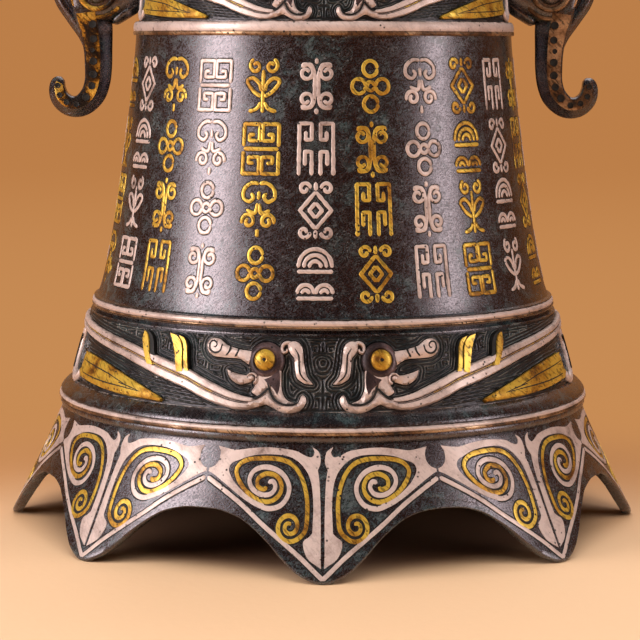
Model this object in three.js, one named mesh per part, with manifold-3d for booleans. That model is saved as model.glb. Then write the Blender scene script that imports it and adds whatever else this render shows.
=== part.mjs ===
// A cast bronze bell with a mouth of eight pointed petals, inlaid with silver and gold.
// Millimetres, +Z up, front towards -Y. The origin is on the ground under the middle of the mouth.
import * as THREE from "three";
import { mergeVertices } from "three/addons/utils/BufferGeometryUtils.js";
import Module from "manifold-3d";

const wasm = await Module();
wasm.setup();

// Fits
const fitGap = 0.3; // between pieces that touch
const runningGap = 0.1; // between the clapper's pin and the bores it turns in

// Skirt with its petals
const mouthRadius = 125.5;
const skirtHeight = 46;
const skirtTopRadius = 103.6;
const skirtFlare = 1.08;
const skirtWall = 4;
const petalCount = 8;
const archHeight = 23.3;
const facetsPerPetal = 8;

// Flange between the skirt and the lower dragon band
const flangeRadius = 104.2;
const flangeLipHeight = 3.5;
const flangeBulgeHeight = 4.5;
const flangeBulgeRadius = 102.6;

// Dragon bands
const lowerBandHeight = 27.2;
const lowerBandBottomRadius = 99.5;
const lowerBandTopRadius = 91.8;
const lowerBandSag = 0.6;
const upperBandHeight = 22;
const upperBandBottomRadius = 72.3;
const upperBandTopRadius = 69;

// Notch between the lower dragon band and the rib above it
const notchHeight = 1.5;
const notchDepth = 0.9;

// Barrel, with the two control points that give it its concave sweep
const barrelHeight = 101.2;
const barrelBottomRadius = 89.5;
const barrelTopRadius = 73.8;
const barrelWall = 4.5;
const barrelSweepLow = new THREE.Vector2(83, 0.125);
const barrelSweepHigh = new THREE.Vector2(73, 0.99);

// Silver bands let into grooves all round
const bandInlayDepth = 1.7;
const grooveLip = 0.6;
const skirtBandRadius = 104.6;
const skirtBandHeight = 3;
const barrelBaseBandRadius = 91.3;
const barrelBaseBandHeight = 3.2;
const barrelTopBandRadius = 74.4;
const barrelTopBandHeight = 5.4;
const shoulderBandRadius = 71;
const shoulderBandHeight = 3.8;

// Shoulder and crown
const domeHeight = 27;
const domeFootRadius = 69;
const crownFlatRadius = 37;
const crownThickness = 6;

// Crown loop
const loopLegOffset = 24;
const loopRise = 50;
const loopRodRadius = 8;
const loopLegHeight = 16;
const loopBow = 3;
const loopFootRadius = 11;
const loopFootHeight = 6;
const loopStudRadius = 3;

// Dragons, drawn on a band laid out flat: distance along from the front, height above its lower edge
const motifRadius = 96;
const motifHeight = 27.2;
const reliefThickness = 2;
const dragonBack = [
  [-131, 20.3, 5],
  [-108, 20.3, 5.8],
  [-90, 18, 6.6],
  [-75, 15.5, 7.4],
  [-60, 11.5, 8],
  [-50, 9, 7.3],
  [-38, 5.3, 6],
  [-30, 3.6, 4.6],
  [-24, 4.2, 4.2],
  [-21, 7.6, 4.5],
  [-21.5, 13, 5],
];
const dragonUpperLip = [
  [-20.5, 9.4, 3],
  [-17.8, 6.4, 2.6],
  [-14.5, 4.4, 2.2],
  [-10.5, 3.2, 1.6],
];
const dragonLowerLip = [
  [-24, 3.2, 2.6],
  [-18, 2.4, 2.4],
  [-13, 1.4, 2],
  [-9, 1.5, 2],
  [-7.2, 2.8, 1.4],
];
const dragonWing = [
  [-117, 7.5, 9],
  [-104, 6.6, 9.3],
  [-90, 5.4, 7.8],
  [-80, 4, 5.6],
  [-70, 2.6, 3.6],
  [-61.5, 1.8, 1.2],
];
const dragonEyePlace = [-22, 18.2];
const dragonEyeRadius = 3.7;
const dragonEyeTopRadius = 2.2;
const dragonEyeHeight = 2;
const eyeSocketRadius = 6;

// Silver strips that meet in a point over each arch of the mouth
const edgeStripWidth = 1.6;
const edgeStripThickness = 0.6;
const edgeStripRise = 11.2; // from the top of the arch to the point of the strips
const edgeStripEndHeight = 3.4;
const edgeStripEndAlong = 1.6; // from the middle of a petal
const edgeStripBow = 0.9;

// Beast ears at the sides: distance out from the shoulder's radius, drop below its band, half width
const trunkPath = [
  [22, 9.6, 8],
  [20.5, 25.6, 6.6],
  [19.9, 37.6, 5.5],
  [21.6, 49.6, 4.9],
  [26.6, 55.4, 4.1],
  [32.6, 54.6, 3.6],
  [35.9, 50.4, 3.2],
  [35.4, 44.8, 1.4],
];
const neckPath = [
  [20, 18.6, 5],
  [12, 13.4, 6],
  [1, 10.4, 6.2],
];
const headCentre = [23, 5.6];
const headHalfLength = 15;
const headHalfHeight = 12;
const headHalfWidth = 9.5;
const earRootHeight = 15;
const earRootDrop = 1;
const earRootWidth = 16;
const earScrewRadius = 2;
const earScrewHeadRadius = 3.6;
const earScrewHeadHeight = 3;
const earScrewReach = 9;
const earScrewSpacing = 8.2;

// Clapper
const hangerStemRadius = 3;
const hangerFlangeRadius = 9;
const hangerFlangeHeight = 3;
const pinDrop = 19; // from the crown's ceiling down to the pin
const pinRadius = 2.5;
const pinHeadRadius = 4.2;
const pinHeadHeight = 1.6;
const tongueThickness = 5;
const tongueRadius = 6;
const forkArmThickness = 3;
const forkDepth = 8.5; // from the pin down to the floor of the fork
const forkFloorThickness = 6;
const clapperLength = 158; // from the pin to the middle of the ball
const clapperRodRadius = 3.5;
const clapperBallRadius = 15;
const rodCollarRadius = 6;
const rodCollarHeight = 3;
const rodTailLength = 8;

// Nuts
const nutAcrossCorners = 12;
const nutHeight = 5;

// Facets and steps of round and curved shapes
const skirtSteps = 3;
const barrelSteps = 4;
const domeSteps = 3;
const dragonBackSteps = 14;
const dragonLipSteps = 3;
const dragonWingSteps = 7;
const edgeStripSteps = 5;
const loopBowSteps = 6;
const trunkSteps = 14;
const roundSides = 12;
const barSides = 8;
const nutSides = 6;
const ballSides = 16;
const ballRings = 9;
const overrun = 1; // how far a cutter runs past a face, and a joined piece into its neighbour

// Levels, from the ground up
const facetCount = petalCount * facetsPerPetal;
const flangeTop = skirtHeight + flangeLipHeight;
const skirtBand = bandIn(flangeTop, skirtBandHeight, skirtBandRadius);
const bulgeBottom = skirtBand.top;
const lowerBandBottom = bulgeBottom + flangeBulgeHeight;
const lowerBandTop = lowerBandBottom + lowerBandHeight;
const barrelBaseBand = bandIn(
  lowerBandTop + notchHeight + grooveLip,
  barrelBaseBandHeight,
  barrelBaseBandRadius,
);
const barrelBottom = barrelBaseBand.top + grooveLip;
const barrelTop = barrelBottom + barrelHeight;
const barrelTopBand = bandIn(barrelTop, barrelTopBandHeight, barrelTopBandRadius);
const upperBandBottom = barrelTopBand.top;
const upperBandTop = upperBandBottom + upperBandHeight;
const shoulderBand = bandIn(upperBandTop, shoulderBandHeight, shoulderBandRadius);
const domeFoot = shoulderBand.top;
const crownTop = domeFoot + domeHeight;
const crownCeiling = crownTop - crownThickness;
const pinHeight = crownCeiling - pinDrop;

// The groove of a silver band, and the band that lies in it
function bandIn(bottom, height, radius) {
  return { bottom, top: bottom + height, radius, seat: radius - bandInlayDepth };
}

function grooveOf(band) {
  return [
    [band.radius - fitGap, band.bottom],
    [band.seat, band.bottom],
    [band.seat, band.top],
    [band.radius - fitGap, band.top],
  ];
}

// Outline of the bell's outside, as pairs of radius and height from the mouth up
function skirtRadius(z) {
  const left = Math.max(0, 1 - z / skirtHeight);
  return skirtTopRadius + (mouthRadius - skirtTopRadius) * left ** skirtFlare;
}

function quarterDome(radius, flatRadius, foot, height, steps) {
  return Array.from({ length: steps + 1 }, (_, i) => {
    const turn = (i / steps) * (Math.PI / 2);
    return [flatRadius + (radius - flatRadius) * Math.cos(turn), foot + height * Math.sin(turn)];
  });
}

const skirtOutline = Array.from({ length: skirtSteps + 1 }, (_, i) => {
  const z = (skirtHeight * i) / skirtSteps;
  return [skirtRadius(z), z];
});
const barrelOutline = new THREE.CubicBezierCurve(
  new THREE.Vector2(barrelBottomRadius, barrelBottom),
  new THREE.Vector2(barrelSweepLow.x, barrelBottom + barrelHeight * barrelSweepLow.y),
  new THREE.Vector2(barrelSweepHigh.x, barrelBottom + barrelHeight * barrelSweepHigh.y),
  new THREE.Vector2(barrelTopRadius, barrelTop),
)
  .getPoints(barrelSteps)
  .map((p) => [p.x, p.y]);
const outerOutline = [
  ...skirtOutline,
  [flangeRadius, skirtHeight + grooveLip],
  ...grooveOf(skirtBand),
  [flangeBulgeRadius, bulgeBottom + flangeBulgeHeight / 2],
  [lowerBandBottomRadius, lowerBandBottom],
  [
    (lowerBandBottomRadius + lowerBandTopRadius) / 2 - lowerBandSag,
    (lowerBandBottom + lowerBandTop) / 2,
  ],
  [lowerBandTopRadius, lowerBandTop],
  [lowerBandTopRadius - notchDepth, lowerBandTop + notchHeight / 2],
  ...grooveOf(barrelBaseBand),
  ...barrelOutline,
  ...grooveOf(barrelTopBand).slice(1, 3),
  [upperBandBottomRadius, upperBandBottom],
  [upperBandTopRadius, upperBandTop],
  ...grooveOf(shoulderBand).slice(1, 3),
  ...quarterDome(domeFootRadius, crownFlatRadius, domeFoot, domeHeight, domeSteps),
];

// Outline of the bell's inside, from the crown down
const innerOutline = [
  ...quarterDome(
    domeFootRadius - barrelWall,
    crownFlatRadius - barrelWall,
    domeFoot,
    crownCeiling - domeFoot,
    domeSteps,
  ).reverse(),
  [upperBandBottomRadius - barrelWall, upperBandBottom],
  ...barrelOutline
    .slice(0, -1)
    .reverse()
    .map(([r, z]) => [r - barrelWall, z]),
  [lowerBandBottomRadius - barrelWall, lowerBandBottom],
  [skirtTopRadius - skirtWall, skirtHeight],
  [mouthRadius - skirtWall, 0],
];

function radiusOn(outline, z) {
  for (let i = 1; i < outline.length; i += 1) {
    const [r0, z0] = outline[i - 1];
    const [r1, z1] = outline[i];
    if ((z - z0) * (z - z1) <= 0 && z0 !== z1) return r0 + ((r1 - r0) * (z - z0)) / (z1 - z0);
  }
  return outline[outline.length - 1][0];
}

// Solids: a closed geometry becomes a solid to cut and join, and comes back as a geometry
function toSolid(geometry) {
  const bare = geometry.index ? geometry.toNonIndexed() : geometry.clone();
  bare.deleteAttribute("normal");
  bare.deleteAttribute("uv");
  const merged = mergeVertices(bare, 1e-4);
  return new wasm.Manifold(
    new wasm.Mesh({
      numProp: 3,
      vertProperties: merged.attributes.position.array,
      triVerts: new Uint32Array(merged.index.array),
    }),
  );
}

function toGeometry(solid) {
  const mesh = solid.getMesh();
  const geometry = new THREE.BufferGeometry();
  geometry.setAttribute("position", new THREE.BufferAttribute(mesh.vertProperties, 3));
  geometry.setIndex(new THREE.BufferAttribute(mesh.triVerts, 1));
  const faceted = geometry.toNonIndexed();
  faceted.computeVertexNormals();
  return faceted;
}

function joined(geometries) {
  return geometries.map(toSolid).reduce((whole, next) => whole.add(next));
}

function cut(solid, geometries) {
  return geometries.map(toSolid).reduce((whole, next) => whole.subtract(next), solid);
}

// Each vertex of a geometry goes where place(x, y, z) says
function bend(geometry, place) {
  const position = geometry.attributes.position;
  for (let i = 0; i < position.count; i += 1) {
    const p = place(position.getX(i), position.getY(i), position.getZ(i));
    position.setXYZ(i, p.x, p.y, p.z);
  }
  return geometry;
}

function onAxis(radius, bottom, top, sides) {
  return new THREE.CylinderGeometry(radius, radius, top - bottom, sides)
    .rotateX(Math.PI / 2)
    .translate(0, 0, (bottom + top) / 2);
}

function alongX(radius, from, to, z, sides) {
  return new THREE.CylinderGeometry(radius, radius, to - from, sides)
    .rotateZ(Math.PI / 2)
    .translate((from + to) / 2, 0, z);
}

function alongY(radius, from, to, z, sides) {
  return new THREE.CylinderGeometry(radius, radius, to - from, sides).translate(0, (from + to) / 2, z);
}

function turned(outline) {
  const profile = outline.map(([r, z]) => new THREE.Vector2(r, z));
  return new THREE.LatheGeometry(profile, facetCount, Math.PI / facetCount).rotateX(Math.PI / 2);
}

// Bell shell: turned, then its lower edge drawn up into arches along the skirt's own slope
const footHalfAngle = Math.PI / facetCount;

function edgeHeight(angle) {
  const atFoot = Math.cos(petalCount * footHalfAngle);
  const rise = (atFoot - Math.cos(petalCount * angle)) / (atFoot + 1);
  return Math.max(0, archHeight * rise);
}

function scalloped(geometry) {
  return bend(geometry, (x, y, z) => {
    if (z >= skirtHeight) return new THREE.Vector3(x, y, z);
    const angle = Math.atan2(x, -y);
    const lift = edgeHeight(angle);
    const lifted = lift + z * (1 - lift / skirtHeight);
    const r = Math.hypot(x, y) + skirtRadius(lifted) - skirtRadius(z);
    return new THREE.Vector3(r * Math.sin(angle), -r * Math.cos(angle), lifted);
  });
}

const studHoleRadius = loopStudRadius + fitGap;
const stemHoleRadius = hangerStemRadius + fitGap;
const earRootTop = upperBandTop - earRootDrop;
const earScrewMiddle = earRootTop - earRootHeight / 2;
const earScrewHeights = {
  lower: earScrewMiddle - earScrewSpacing / 2,
  upper: earScrewMiddle + earScrewSpacing / 2,
};

function screwSeat(z) {
  return radiusOn(innerOutline, z - earScrewHeadRadius - fitGap);
}

function makeShell() {
  const section = [[0, crownCeiling], ...innerOutline, ...outerOutline, [0, crownTop]];
  const crownHoles = [-loopLegOffset, loopLegOffset].map((x) =>
    onAxis(studHoleRadius, crownCeiling - overrun, crownTop + overrun, roundSides).translate(x, 0, 0),
  );
  const stemHole = onAxis(stemHoleRadius, crownCeiling - overrun, crownTop + overrun, roundSides);
  const screwHoles = Object.values(earScrewHeights).flatMap((z) => {
    const seat = screwSeat(z);
    const spot = alongX(earScrewHeadRadius + fitGap, seat - barrelWall, seat, z, roundSides);
    const hole = alongX(earScrewRadius + fitGap, seat - overrun, seat + 2 * barrelWall, z, roundSides);
    return [spot, hole, spot.clone().rotateZ(Math.PI), hole.clone().rotateZ(Math.PI)];
  });
  const body = toSolid(scalloped(turned(section)));
  return toGeometry(cut(body, [...crownHoles, stemHole, ...screwHoles]));
}

function makeBand(band) {
  const inner = band.seat + fitGap;
  const low = band.bottom + fitGap;
  const high = band.top - fitGap;
  return turned([
    [band.radius, low],
    [band.radius, high],
    [inner, high],
    [inner, low],
    [band.radius, low],
  ]);
}

// Relief that follows the outside of the bell. A strip is a bar whose middle line runs through
// triples of distance along, height up and width, laid out flat and then bent round the bell.
function strip(points, steps, bottom, top, place) {
  const line = new THREE.CatmullRomCurve3(points.map((p) => new THREE.Vector3(...p)));
  const bar = new THREE.BoxGeometry(1, 1, 1, steps, 1, 1).translate(0.5, 0, 0.5);
  return bend(bar, (t, across, out) => {
    const middle = line.getPoint(t);
    const run = line.getTangent(t);
    const length = Math.hypot(run.x, run.y);
    const along = middle.x - (run.y / length) * across * middle.z;
    const up = middle.y + (run.x / length) * across * middle.z;
    return place(along, up, bottom + out * (top - bottom));
  });
}

function onBell(angle, z, out) {
  const r = radiusOn(outerOutline, z) + out;
  return new THREE.Vector3(r * Math.sin(angle), -r * Math.cos(angle), z);
}

function onBand(band) {
  return (along, up, out) =>
    onBell(along / motifRadius, band.bottom + (up * band.height) / motifHeight, fitGap + out);
}

// A round boss on a band, domed if its top radius is smaller
function boss([along, up], bottomRadius, topRadius, bottom, top, place) {
  const disc = new THREE.CylinderGeometry(topRadius, bottomRadius, 1, roundSides)
    .rotateX(Math.PI / 2)
    .translate(0, 0, 0.5);
  return bend(disc, (x, y, out) => place(along + x, up + y, bottom + out * (top - bottom)));
}

function makeDragonBody(band) {
  const place = onBand(band);
  return toGeometry(
    joined([
      strip(dragonBack, dragonBackSteps, 0, reliefThickness, place),
      strip(dragonUpperLip, dragonLipSteps, 0, reliefThickness, place),
      strip(dragonLowerLip, dragonLipSteps, 0, reliefThickness, place),
      boss(dragonEyePlace, eyeSocketRadius, eyeSocketRadius, 0, reliefThickness, place),
    ]),
  );
}

function makeDragonEye(band) {
  const place = onBand(band);
  const foot = reliefThickness + fitGap;
  return boss(dragonEyePlace, dragonEyeRadius, dragonEyeTopRadius, foot, foot + dragonEyeHeight, place);
}

function makeDragonWing(band) {
  return strip(dragonWing, dragonWingSteps, 0, reliefThickness, onBand(band));
}

// The two strips of an arch, from one petal's point up over the arch to the next petal's point
function makeEdgeStrip() {
  const halfPetal = Math.PI / petalCount;
  const peak = archHeight + edgeStripRise;
  const endAngle = edgeStripEndAlong / mouthRadius;
  const middleAngle = (endAngle + halfPetal) / 2;
  const middleHeight = (edgeStripEndHeight + peak) / 2 + edgeStripBow;
  const lean = Math.atan2(peak - edgeStripEndHeight, halfPetal * skirtRadius(peak));
  const mitre = edgeStripWidth / 2 / Math.sin(lean) / skirtRadius(peak);
  const rising = [
    [endAngle, edgeStripEndHeight, edgeStripWidth],
    [middleAngle, middleHeight, edgeStripWidth],
    [halfPetal + mitre / 2, peak, edgeStripWidth],
  ];
  const falling = rising
    .map(([angle, z, width]) => [2 * halfPetal - angle, z, width])
    .reverse();
  const flat = (triples) => triples.map(([angle, z, width]) => [angle * motifRadius, z, width]);
  const place = (along, z, out) => onBell(along / motifRadius, z, fitGap + out);
  return toGeometry(
    joined([
      strip(flat(rising), edgeStripSteps, 0, edgeStripThickness, place),
      strip(flat(falling), edgeStripSteps, 0, edgeStripThickness, place),
    ]),
  );
}

// A round bar of changing thickness along a curve in the XZ plane
function taperedBar(points, steps, sides) {
  const line = new THREE.CatmullRomCurve3(points.map(([x, z, r]) => new THREE.Vector3(x, z, r)));
  const bar = new THREE.CylinderGeometry(1, 1, 1, sides, steps).translate(0, 0.5, 0);
  return bend(bar, (x, t, y) => {
    const middle = line.getPoint(t);
    const run = line.getTangent(t);
    const length = Math.hypot(run.x, run.y);
    const side = x * middle.z;
    return new THREE.Vector3(
      middle.x + (run.y / length) * side,
      -y * middle.z,
      middle.y - (run.x / length) * side,
    );
  });
}

// The right ear: a root against the upper band, a head, and a trunk that hangs and curls outwards
function makeEar() {
  const fromShoulder = ([out, drop, half]) => [upperBandTopRadius + out, upperBandTop - drop, half];
  const [headOut, headTop] = fromShoulder(headCentre);
  const head = new THREE.SphereGeometry(1, roundSides, roundSides / 2)
    .rotateX(Math.PI / 2)
    .scale(headHalfLength, headHalfWidth, headHalfHeight)
    .translate(headOut, 0, headTop);
  const rootReach = headOut - upperBandTopRadius + upperBandHeight;
  const root = new THREE.BoxGeometry(rootReach, earRootWidth, earRootHeight).translate(
    headOut - rootReach / 2,
    0,
    earScrewMiddle,
  );
  const trunk = taperedBar(trunkPath.map(fromShoulder), trunkSteps, barSides);
  const neck = taperedBar(neckPath.map(fromShoulder), neckPath.length, barSides);
  const bandFace = new THREE.CylinderGeometry(
    upperBandTopRadius + fitGap,
    upperBandBottomRadius + fitGap,
    upperBandHeight,
    facetCount,
  )
    .rotateX(Math.PI / 2)
    .rotateZ(Math.PI / 2 + footHalfAngle)
    .translate(0, 0, (upperBandBottom + upperBandTop) / 2);
  const bores = Object.values(earScrewHeights).map((z) =>
    alongX(earScrewRadius + fitGap, 0, screwSeat(z) + barrelWall + earScrewReach + fitGap, z, roundSides),
  );
  return toGeometry(cut(joined([root, head, trunk, neck]), [bandFace, ...bores]));
}

function makeEarScrew(z) {
  const seat = screwSeat(z) - fitGap;
  const head = alongX(earScrewHeadRadius, seat - earScrewHeadHeight, seat, z, roundSides);
  const tip = screwSeat(z) + barrelWall + earScrewReach;
  const shank = alongX(earScrewRadius, seat - earScrewHeadHeight / 2, tip, z, roundSides);
  return toGeometry(joined([head, shank]));
}

// Crown loop: an arch on two round feet, with a stud under each foot
function makeCrownLoop() {
  const seat = crownTop + fitGap;
  const legFoot = seat + loopFootHeight / 2;
  const spring = seat + loopLegHeight;
  const rise = crownTop + loopRise - loopRodRadius - spring;
  const half = loopLegOffset + loopBow;
  const bow = Array.from({ length: loopBowSteps + 1 }, (_, i) => {
    const turn = (i / loopBowSteps) * Math.PI;
    return [-half * Math.cos(turn), spring + rise * Math.sin(turn), loopRodRadius];
  });
  const arch = [
    [-loopLegOffset, legFoot, loopRodRadius],
    ...bow,
    [loopLegOffset, legFoot, loopRodRadius],
  ];
  const studEnd = crownCeiling - fitGap - nutHeight - fitGap;
  const legs = [-loopLegOffset, loopLegOffset].flatMap((x) => [
    onAxis(loopFootRadius, seat, seat + loopFootHeight, roundSides).translate(x, 0, 0),
    onAxis(loopStudRadius, studEnd, seat + overrun, roundSides).translate(x, 0, 0),
  ]);
  return toGeometry(joined([taperedBar(arch, 2 * (arch.length - 1), barSides), ...legs]));
}

function makeNut(boreRadius, bottom) {
  const top = bottom + nutHeight;
  const nut = toSolid(onAxis(nutAcrossCorners / 2, bottom, top, nutSides));
  return toGeometry(cut(nut, [onAxis(boreRadius, bottom - overrun, top + overrun, roundSides)]));
}

// Clapper hanger: a stem through the crown, a flange against its ceiling, and a bored tongue
function makeHanger() {
  const flangeTopZ = crownCeiling - fitGap;
  const flangeBottom = flangeTopZ - hangerFlangeHeight;
  const stemTop = crownTop + 2 * fitGap + nutHeight;
  const half = tongueThickness / 2;
  const tongueLength = flangeBottom + overrun - pinHeight;
  const tongue = new THREE.BoxGeometry(2 * tongueRadius, tongueThickness, tongueLength).translate(
    0,
    0,
    pinHeight + tongueLength / 2,
  );
  const solid = joined([
    onAxis(hangerStemRadius, flangeBottom, stemTop, roundSides),
    onAxis(hangerFlangeRadius, flangeBottom, flangeTopZ, roundSides),
    tongue,
    alongY(tongueRadius, -half, half, pinHeight, roundSides),
  ]);
  const bore = alongY(pinRadius + runningGap, -tongueThickness, tongueThickness, pinHeight, roundSides);
  return toGeometry(cut(solid, [bore]));
}

const forkInner = tongueThickness / 2 + fitGap;
const forkOuter = forkInner + forkArmThickness;

function makePin() {
  const reach = forkOuter + fitGap;
  return toGeometry(
    joined([
      alongY(pinRadius, -reach - overrun, reach + overrun, pinHeight, roundSides),
      alongY(pinHeadRadius, -reach - pinHeadHeight, -reach, pinHeight, roundSides),
      alongY(pinHeadRadius, reach, reach + pinHeadHeight, pinHeight, roundSides),
    ]),
  );
}

const ballHeight = pinHeight - clapperLength;
const ballTop = ballHeight + clapperBallRadius;
const ballBottom = ballHeight - clapperBallRadius;

function makeClapperRod() {
  const floorTop = pinHeight - forkDepth;
  const floorBottom = floorTop - forkFloorThickness;
  const arms = [-1, 1].flatMap((side) => {
    const from = Math.min(side * forkInner, side * forkOuter);
    const armMiddle = side * (forkInner + forkArmThickness / 2);
    const blade = new THREE.BoxGeometry(2 * tongueRadius, forkArmThickness, pinHeight - floorBottom);
    return [
      alongY(tongueRadius, from, from + forkArmThickness, pinHeight, roundSides),
      blade.translate(0, armMiddle, (pinHeight + floorBottom) / 2),
    ];
  });
  const floor = new THREE.BoxGeometry(2 * tongueRadius, 2 * forkOuter, forkFloorThickness).translate(
    0,
    0,
    (floorTop + floorBottom) / 2,
  );
  const collarBottom = ballTop + fitGap;
  const rod = onAxis(clapperRodRadius, ballBottom - rodTailLength, floorBottom + overrun, roundSides);
  const collar = onAxis(rodCollarRadius, collarBottom, collarBottom + rodCollarHeight, roundSides);
  const bore = alongY(pinRadius + runningGap, -2 * forkOuter, 2 * forkOuter, pinHeight, roundSides);
  return toGeometry(cut(joined([...arms, floor, rod, collar]), [bore]));
}

function makeClapperBall() {
  const ball = new THREE.SphereGeometry(clapperBallRadius, ballSides, ballRings)
    .rotateX(Math.PI / 2)
    .translate(0, 0, ballHeight);
  const bore = onAxis(clapperRodRadius + fitGap, ballBottom - overrun, ballTop + overrun, roundSides);
  return toGeometry(cut(toSolid(ball), [bore]));
}

// Materials
function finish(color, roughness, metalness) {
  return new THREE.MeshStandardMaterial({ color, roughness, metalness });
}

const patina = finish(0x1f2a30, 0.42, 0.8);
const silver = finish(0xc9bbb4, 0.35, 1);
const gold = finish(0xd39a2f, 0.32, 1);
const workingBronze = finish(0x7a5c34, 0.5, 0.9);

const bell = new THREE.Group();
bell.name = "bell";
const clapper = new THREE.Group();
clapper.name = "clapper";
bell.add(clapper);

function addPiece(parent, name, geometry, material) {
  const piece = new THREE.Mesh(geometry, material);
  piece.name = name;
  parent.add(piece);
  return piece;
}

addPiece(bell, "bell_shell", makeShell(), patina);
addPiece(bell, "skirt_silver_band", makeBand(skirtBand), silver);
addPiece(bell, "barrel_base_silver_band", makeBand(barrelBaseBand), silver);
addPiece(bell, "barrel_top_silver_band", makeBand(barrelTopBand), silver);
addPiece(bell, "shoulder_silver_band", makeBand(shoulderBand), silver);

// One dragon is drawn at the front left; the other three of its band are its mirror images
const quarters = [
  { name: "front_left", mirrored: false, turn: 0 },
  { name: "front_right", mirrored: true, turn: 0 },
  { name: "rear_right", mirrored: false, turn: Math.PI },
  { name: "rear_left", mirrored: true, turn: Math.PI },
];
const dragonBands = {
  lower: { bottom: lowerBandBottom, height: lowerBandHeight },
  upper: { bottom: upperBandBottom, height: upperBandHeight },
};
for (const [level, band] of Object.entries(dragonBands)) {
  const parts = {
    body: { geometry: makeDragonBody(band), material: silver },
    eye: { geometry: makeDragonEye(band), material: gold },
    wing: { geometry: makeDragonWing(band), material: gold },
  };
  for (const quarter of quarters) {
    for (const [part, { geometry, material }] of Object.entries(parts)) {
      const name = `${level}_dragon_${quarter.name}_${part}`;
      const piece = addPiece(bell, name, geometry, material);
      piece.scale.x = quarter.mirrored ? -1 : 1;
      piece.rotation.z = quarter.turn;
    }
  }
}

const edgeStrip = makeEdgeStrip();
for (let i = 0; i < petalCount; i += 1) {
  const piece = addPiece(bell, `petal_edge_inlay_${i + 1}`, edgeStrip, silver);
  piece.rotation.z = (i * 2 * Math.PI) / petalCount;
}

const ear = makeEar();
const sides = { right: 0, left: Math.PI };
for (const [side, turn] of Object.entries(sides)) {
  addPiece(bell, `${side}_beast_ear`, ear, patina).rotation.z = turn;
  for (const [level, z] of Object.entries(earScrewHeights)) {
    const screw = addPiece(bell, `${side}_ear_screw_${level}`, makeEarScrew(z), workingBronze);
    screw.rotation.z = turn;
  }
  const nut = makeNut(studHoleRadius, crownCeiling - fitGap - nutHeight);
  addPiece(bell, `crown_loop_nut_${side}`, nut, workingBronze).position.x =
    side === "right" ? loopLegOffset : -loopLegOffset;
}

addPiece(bell, "crown_loop", makeCrownLoop(), patina);
addPiece(bell, "clapper_hanger", makeHanger(), workingBronze);
addPiece(bell, "clapper_hanger_nut", makeNut(stemHoleRadius, crownTop + fitGap), workingBronze);

addPiece(clapper, "clapper_pin", makePin(), workingBronze);
addPiece(clapper, "clapper_rod", makeClapperRod(), workingBronze);
addPiece(clapper, "clapper_ball", makeClapperBall(), workingBronze);
addPiece(
  clapper,
  "clapper_ball_nut",
  makeNut(clapperRodRadius + fitGap, ballBottom - fitGap - nutHeight),
  workingBronze,
);

export default bell;
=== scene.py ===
"""A cast bronze bell with a mouth of eight petals, inlaid with silver and gold.

The frame and all objects are in metres. Ornament is drawn in millimetres on the bell's
unrolled surface, as distance along and height up, and is then laid onto the bell.
"""

import logging
import math
from dataclasses import dataclass, field
from enum import Enum
from typing import Callable, Sequence

import bpy
import numpy as np
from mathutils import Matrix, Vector
from mathutils.geometry import delaunay_2d_cdt


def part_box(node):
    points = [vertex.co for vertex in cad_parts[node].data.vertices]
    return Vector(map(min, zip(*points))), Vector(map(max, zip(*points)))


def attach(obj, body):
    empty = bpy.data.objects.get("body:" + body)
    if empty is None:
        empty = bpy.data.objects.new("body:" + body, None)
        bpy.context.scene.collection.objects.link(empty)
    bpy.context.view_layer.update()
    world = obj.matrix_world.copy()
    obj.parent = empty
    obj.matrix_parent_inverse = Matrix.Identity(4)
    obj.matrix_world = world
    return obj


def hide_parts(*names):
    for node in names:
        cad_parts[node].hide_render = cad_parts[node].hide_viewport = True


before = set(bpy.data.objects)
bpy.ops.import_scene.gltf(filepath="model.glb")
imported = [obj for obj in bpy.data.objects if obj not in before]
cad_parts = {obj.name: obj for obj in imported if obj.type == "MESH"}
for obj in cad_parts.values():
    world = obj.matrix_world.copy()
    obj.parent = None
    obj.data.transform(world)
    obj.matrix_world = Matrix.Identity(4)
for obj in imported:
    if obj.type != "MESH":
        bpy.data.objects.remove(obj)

MM = 0.001
TURN = 2 * math.pi
SHARP_ANGLE = math.radians(38)  # edges that turn by more than this stay sharp
THINNEST = 0.3  # half width in mm that ends and heights are measured against at least
log = logging.getLogger("bell")

Array = np.ndarray
Pair = tuple[float, float]
Point = tuple[float, float, float]
Colour = tuple[float, float, float]
Rows = Sequence[Sequence[float]]
Runs = tuple[Rows, ...]
Place = Callable[[Array, Array, Array], Array]
Material = bpy.types.Material
Socket = bpy.types.NodeSocket


# Curves and closed forms


def full_turn(count: int) -> Array:
    """Gives angles spaced evenly round a full turn."""
    return np.linspace(0, TURN, count, endpoint=False)


def run_lengths(rows: Array) -> Array:
    """Gives how far each row lies along its line, measured in the first two columns."""
    return np.concatenate([[0], np.cumsum(np.linalg.norm(np.diff(rows[:, :2], axis=0), axis=1))])


def round_points(radius: Array, angle: Array, z: Array) -> Array:
    """Gives points in metres from radii in mm, angles from the front and heights in mm."""
    return np.stack(np.broadcast_arrays(radius * np.sin(angle), -radius * np.cos(angle), z), axis=-1) * MM


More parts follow.
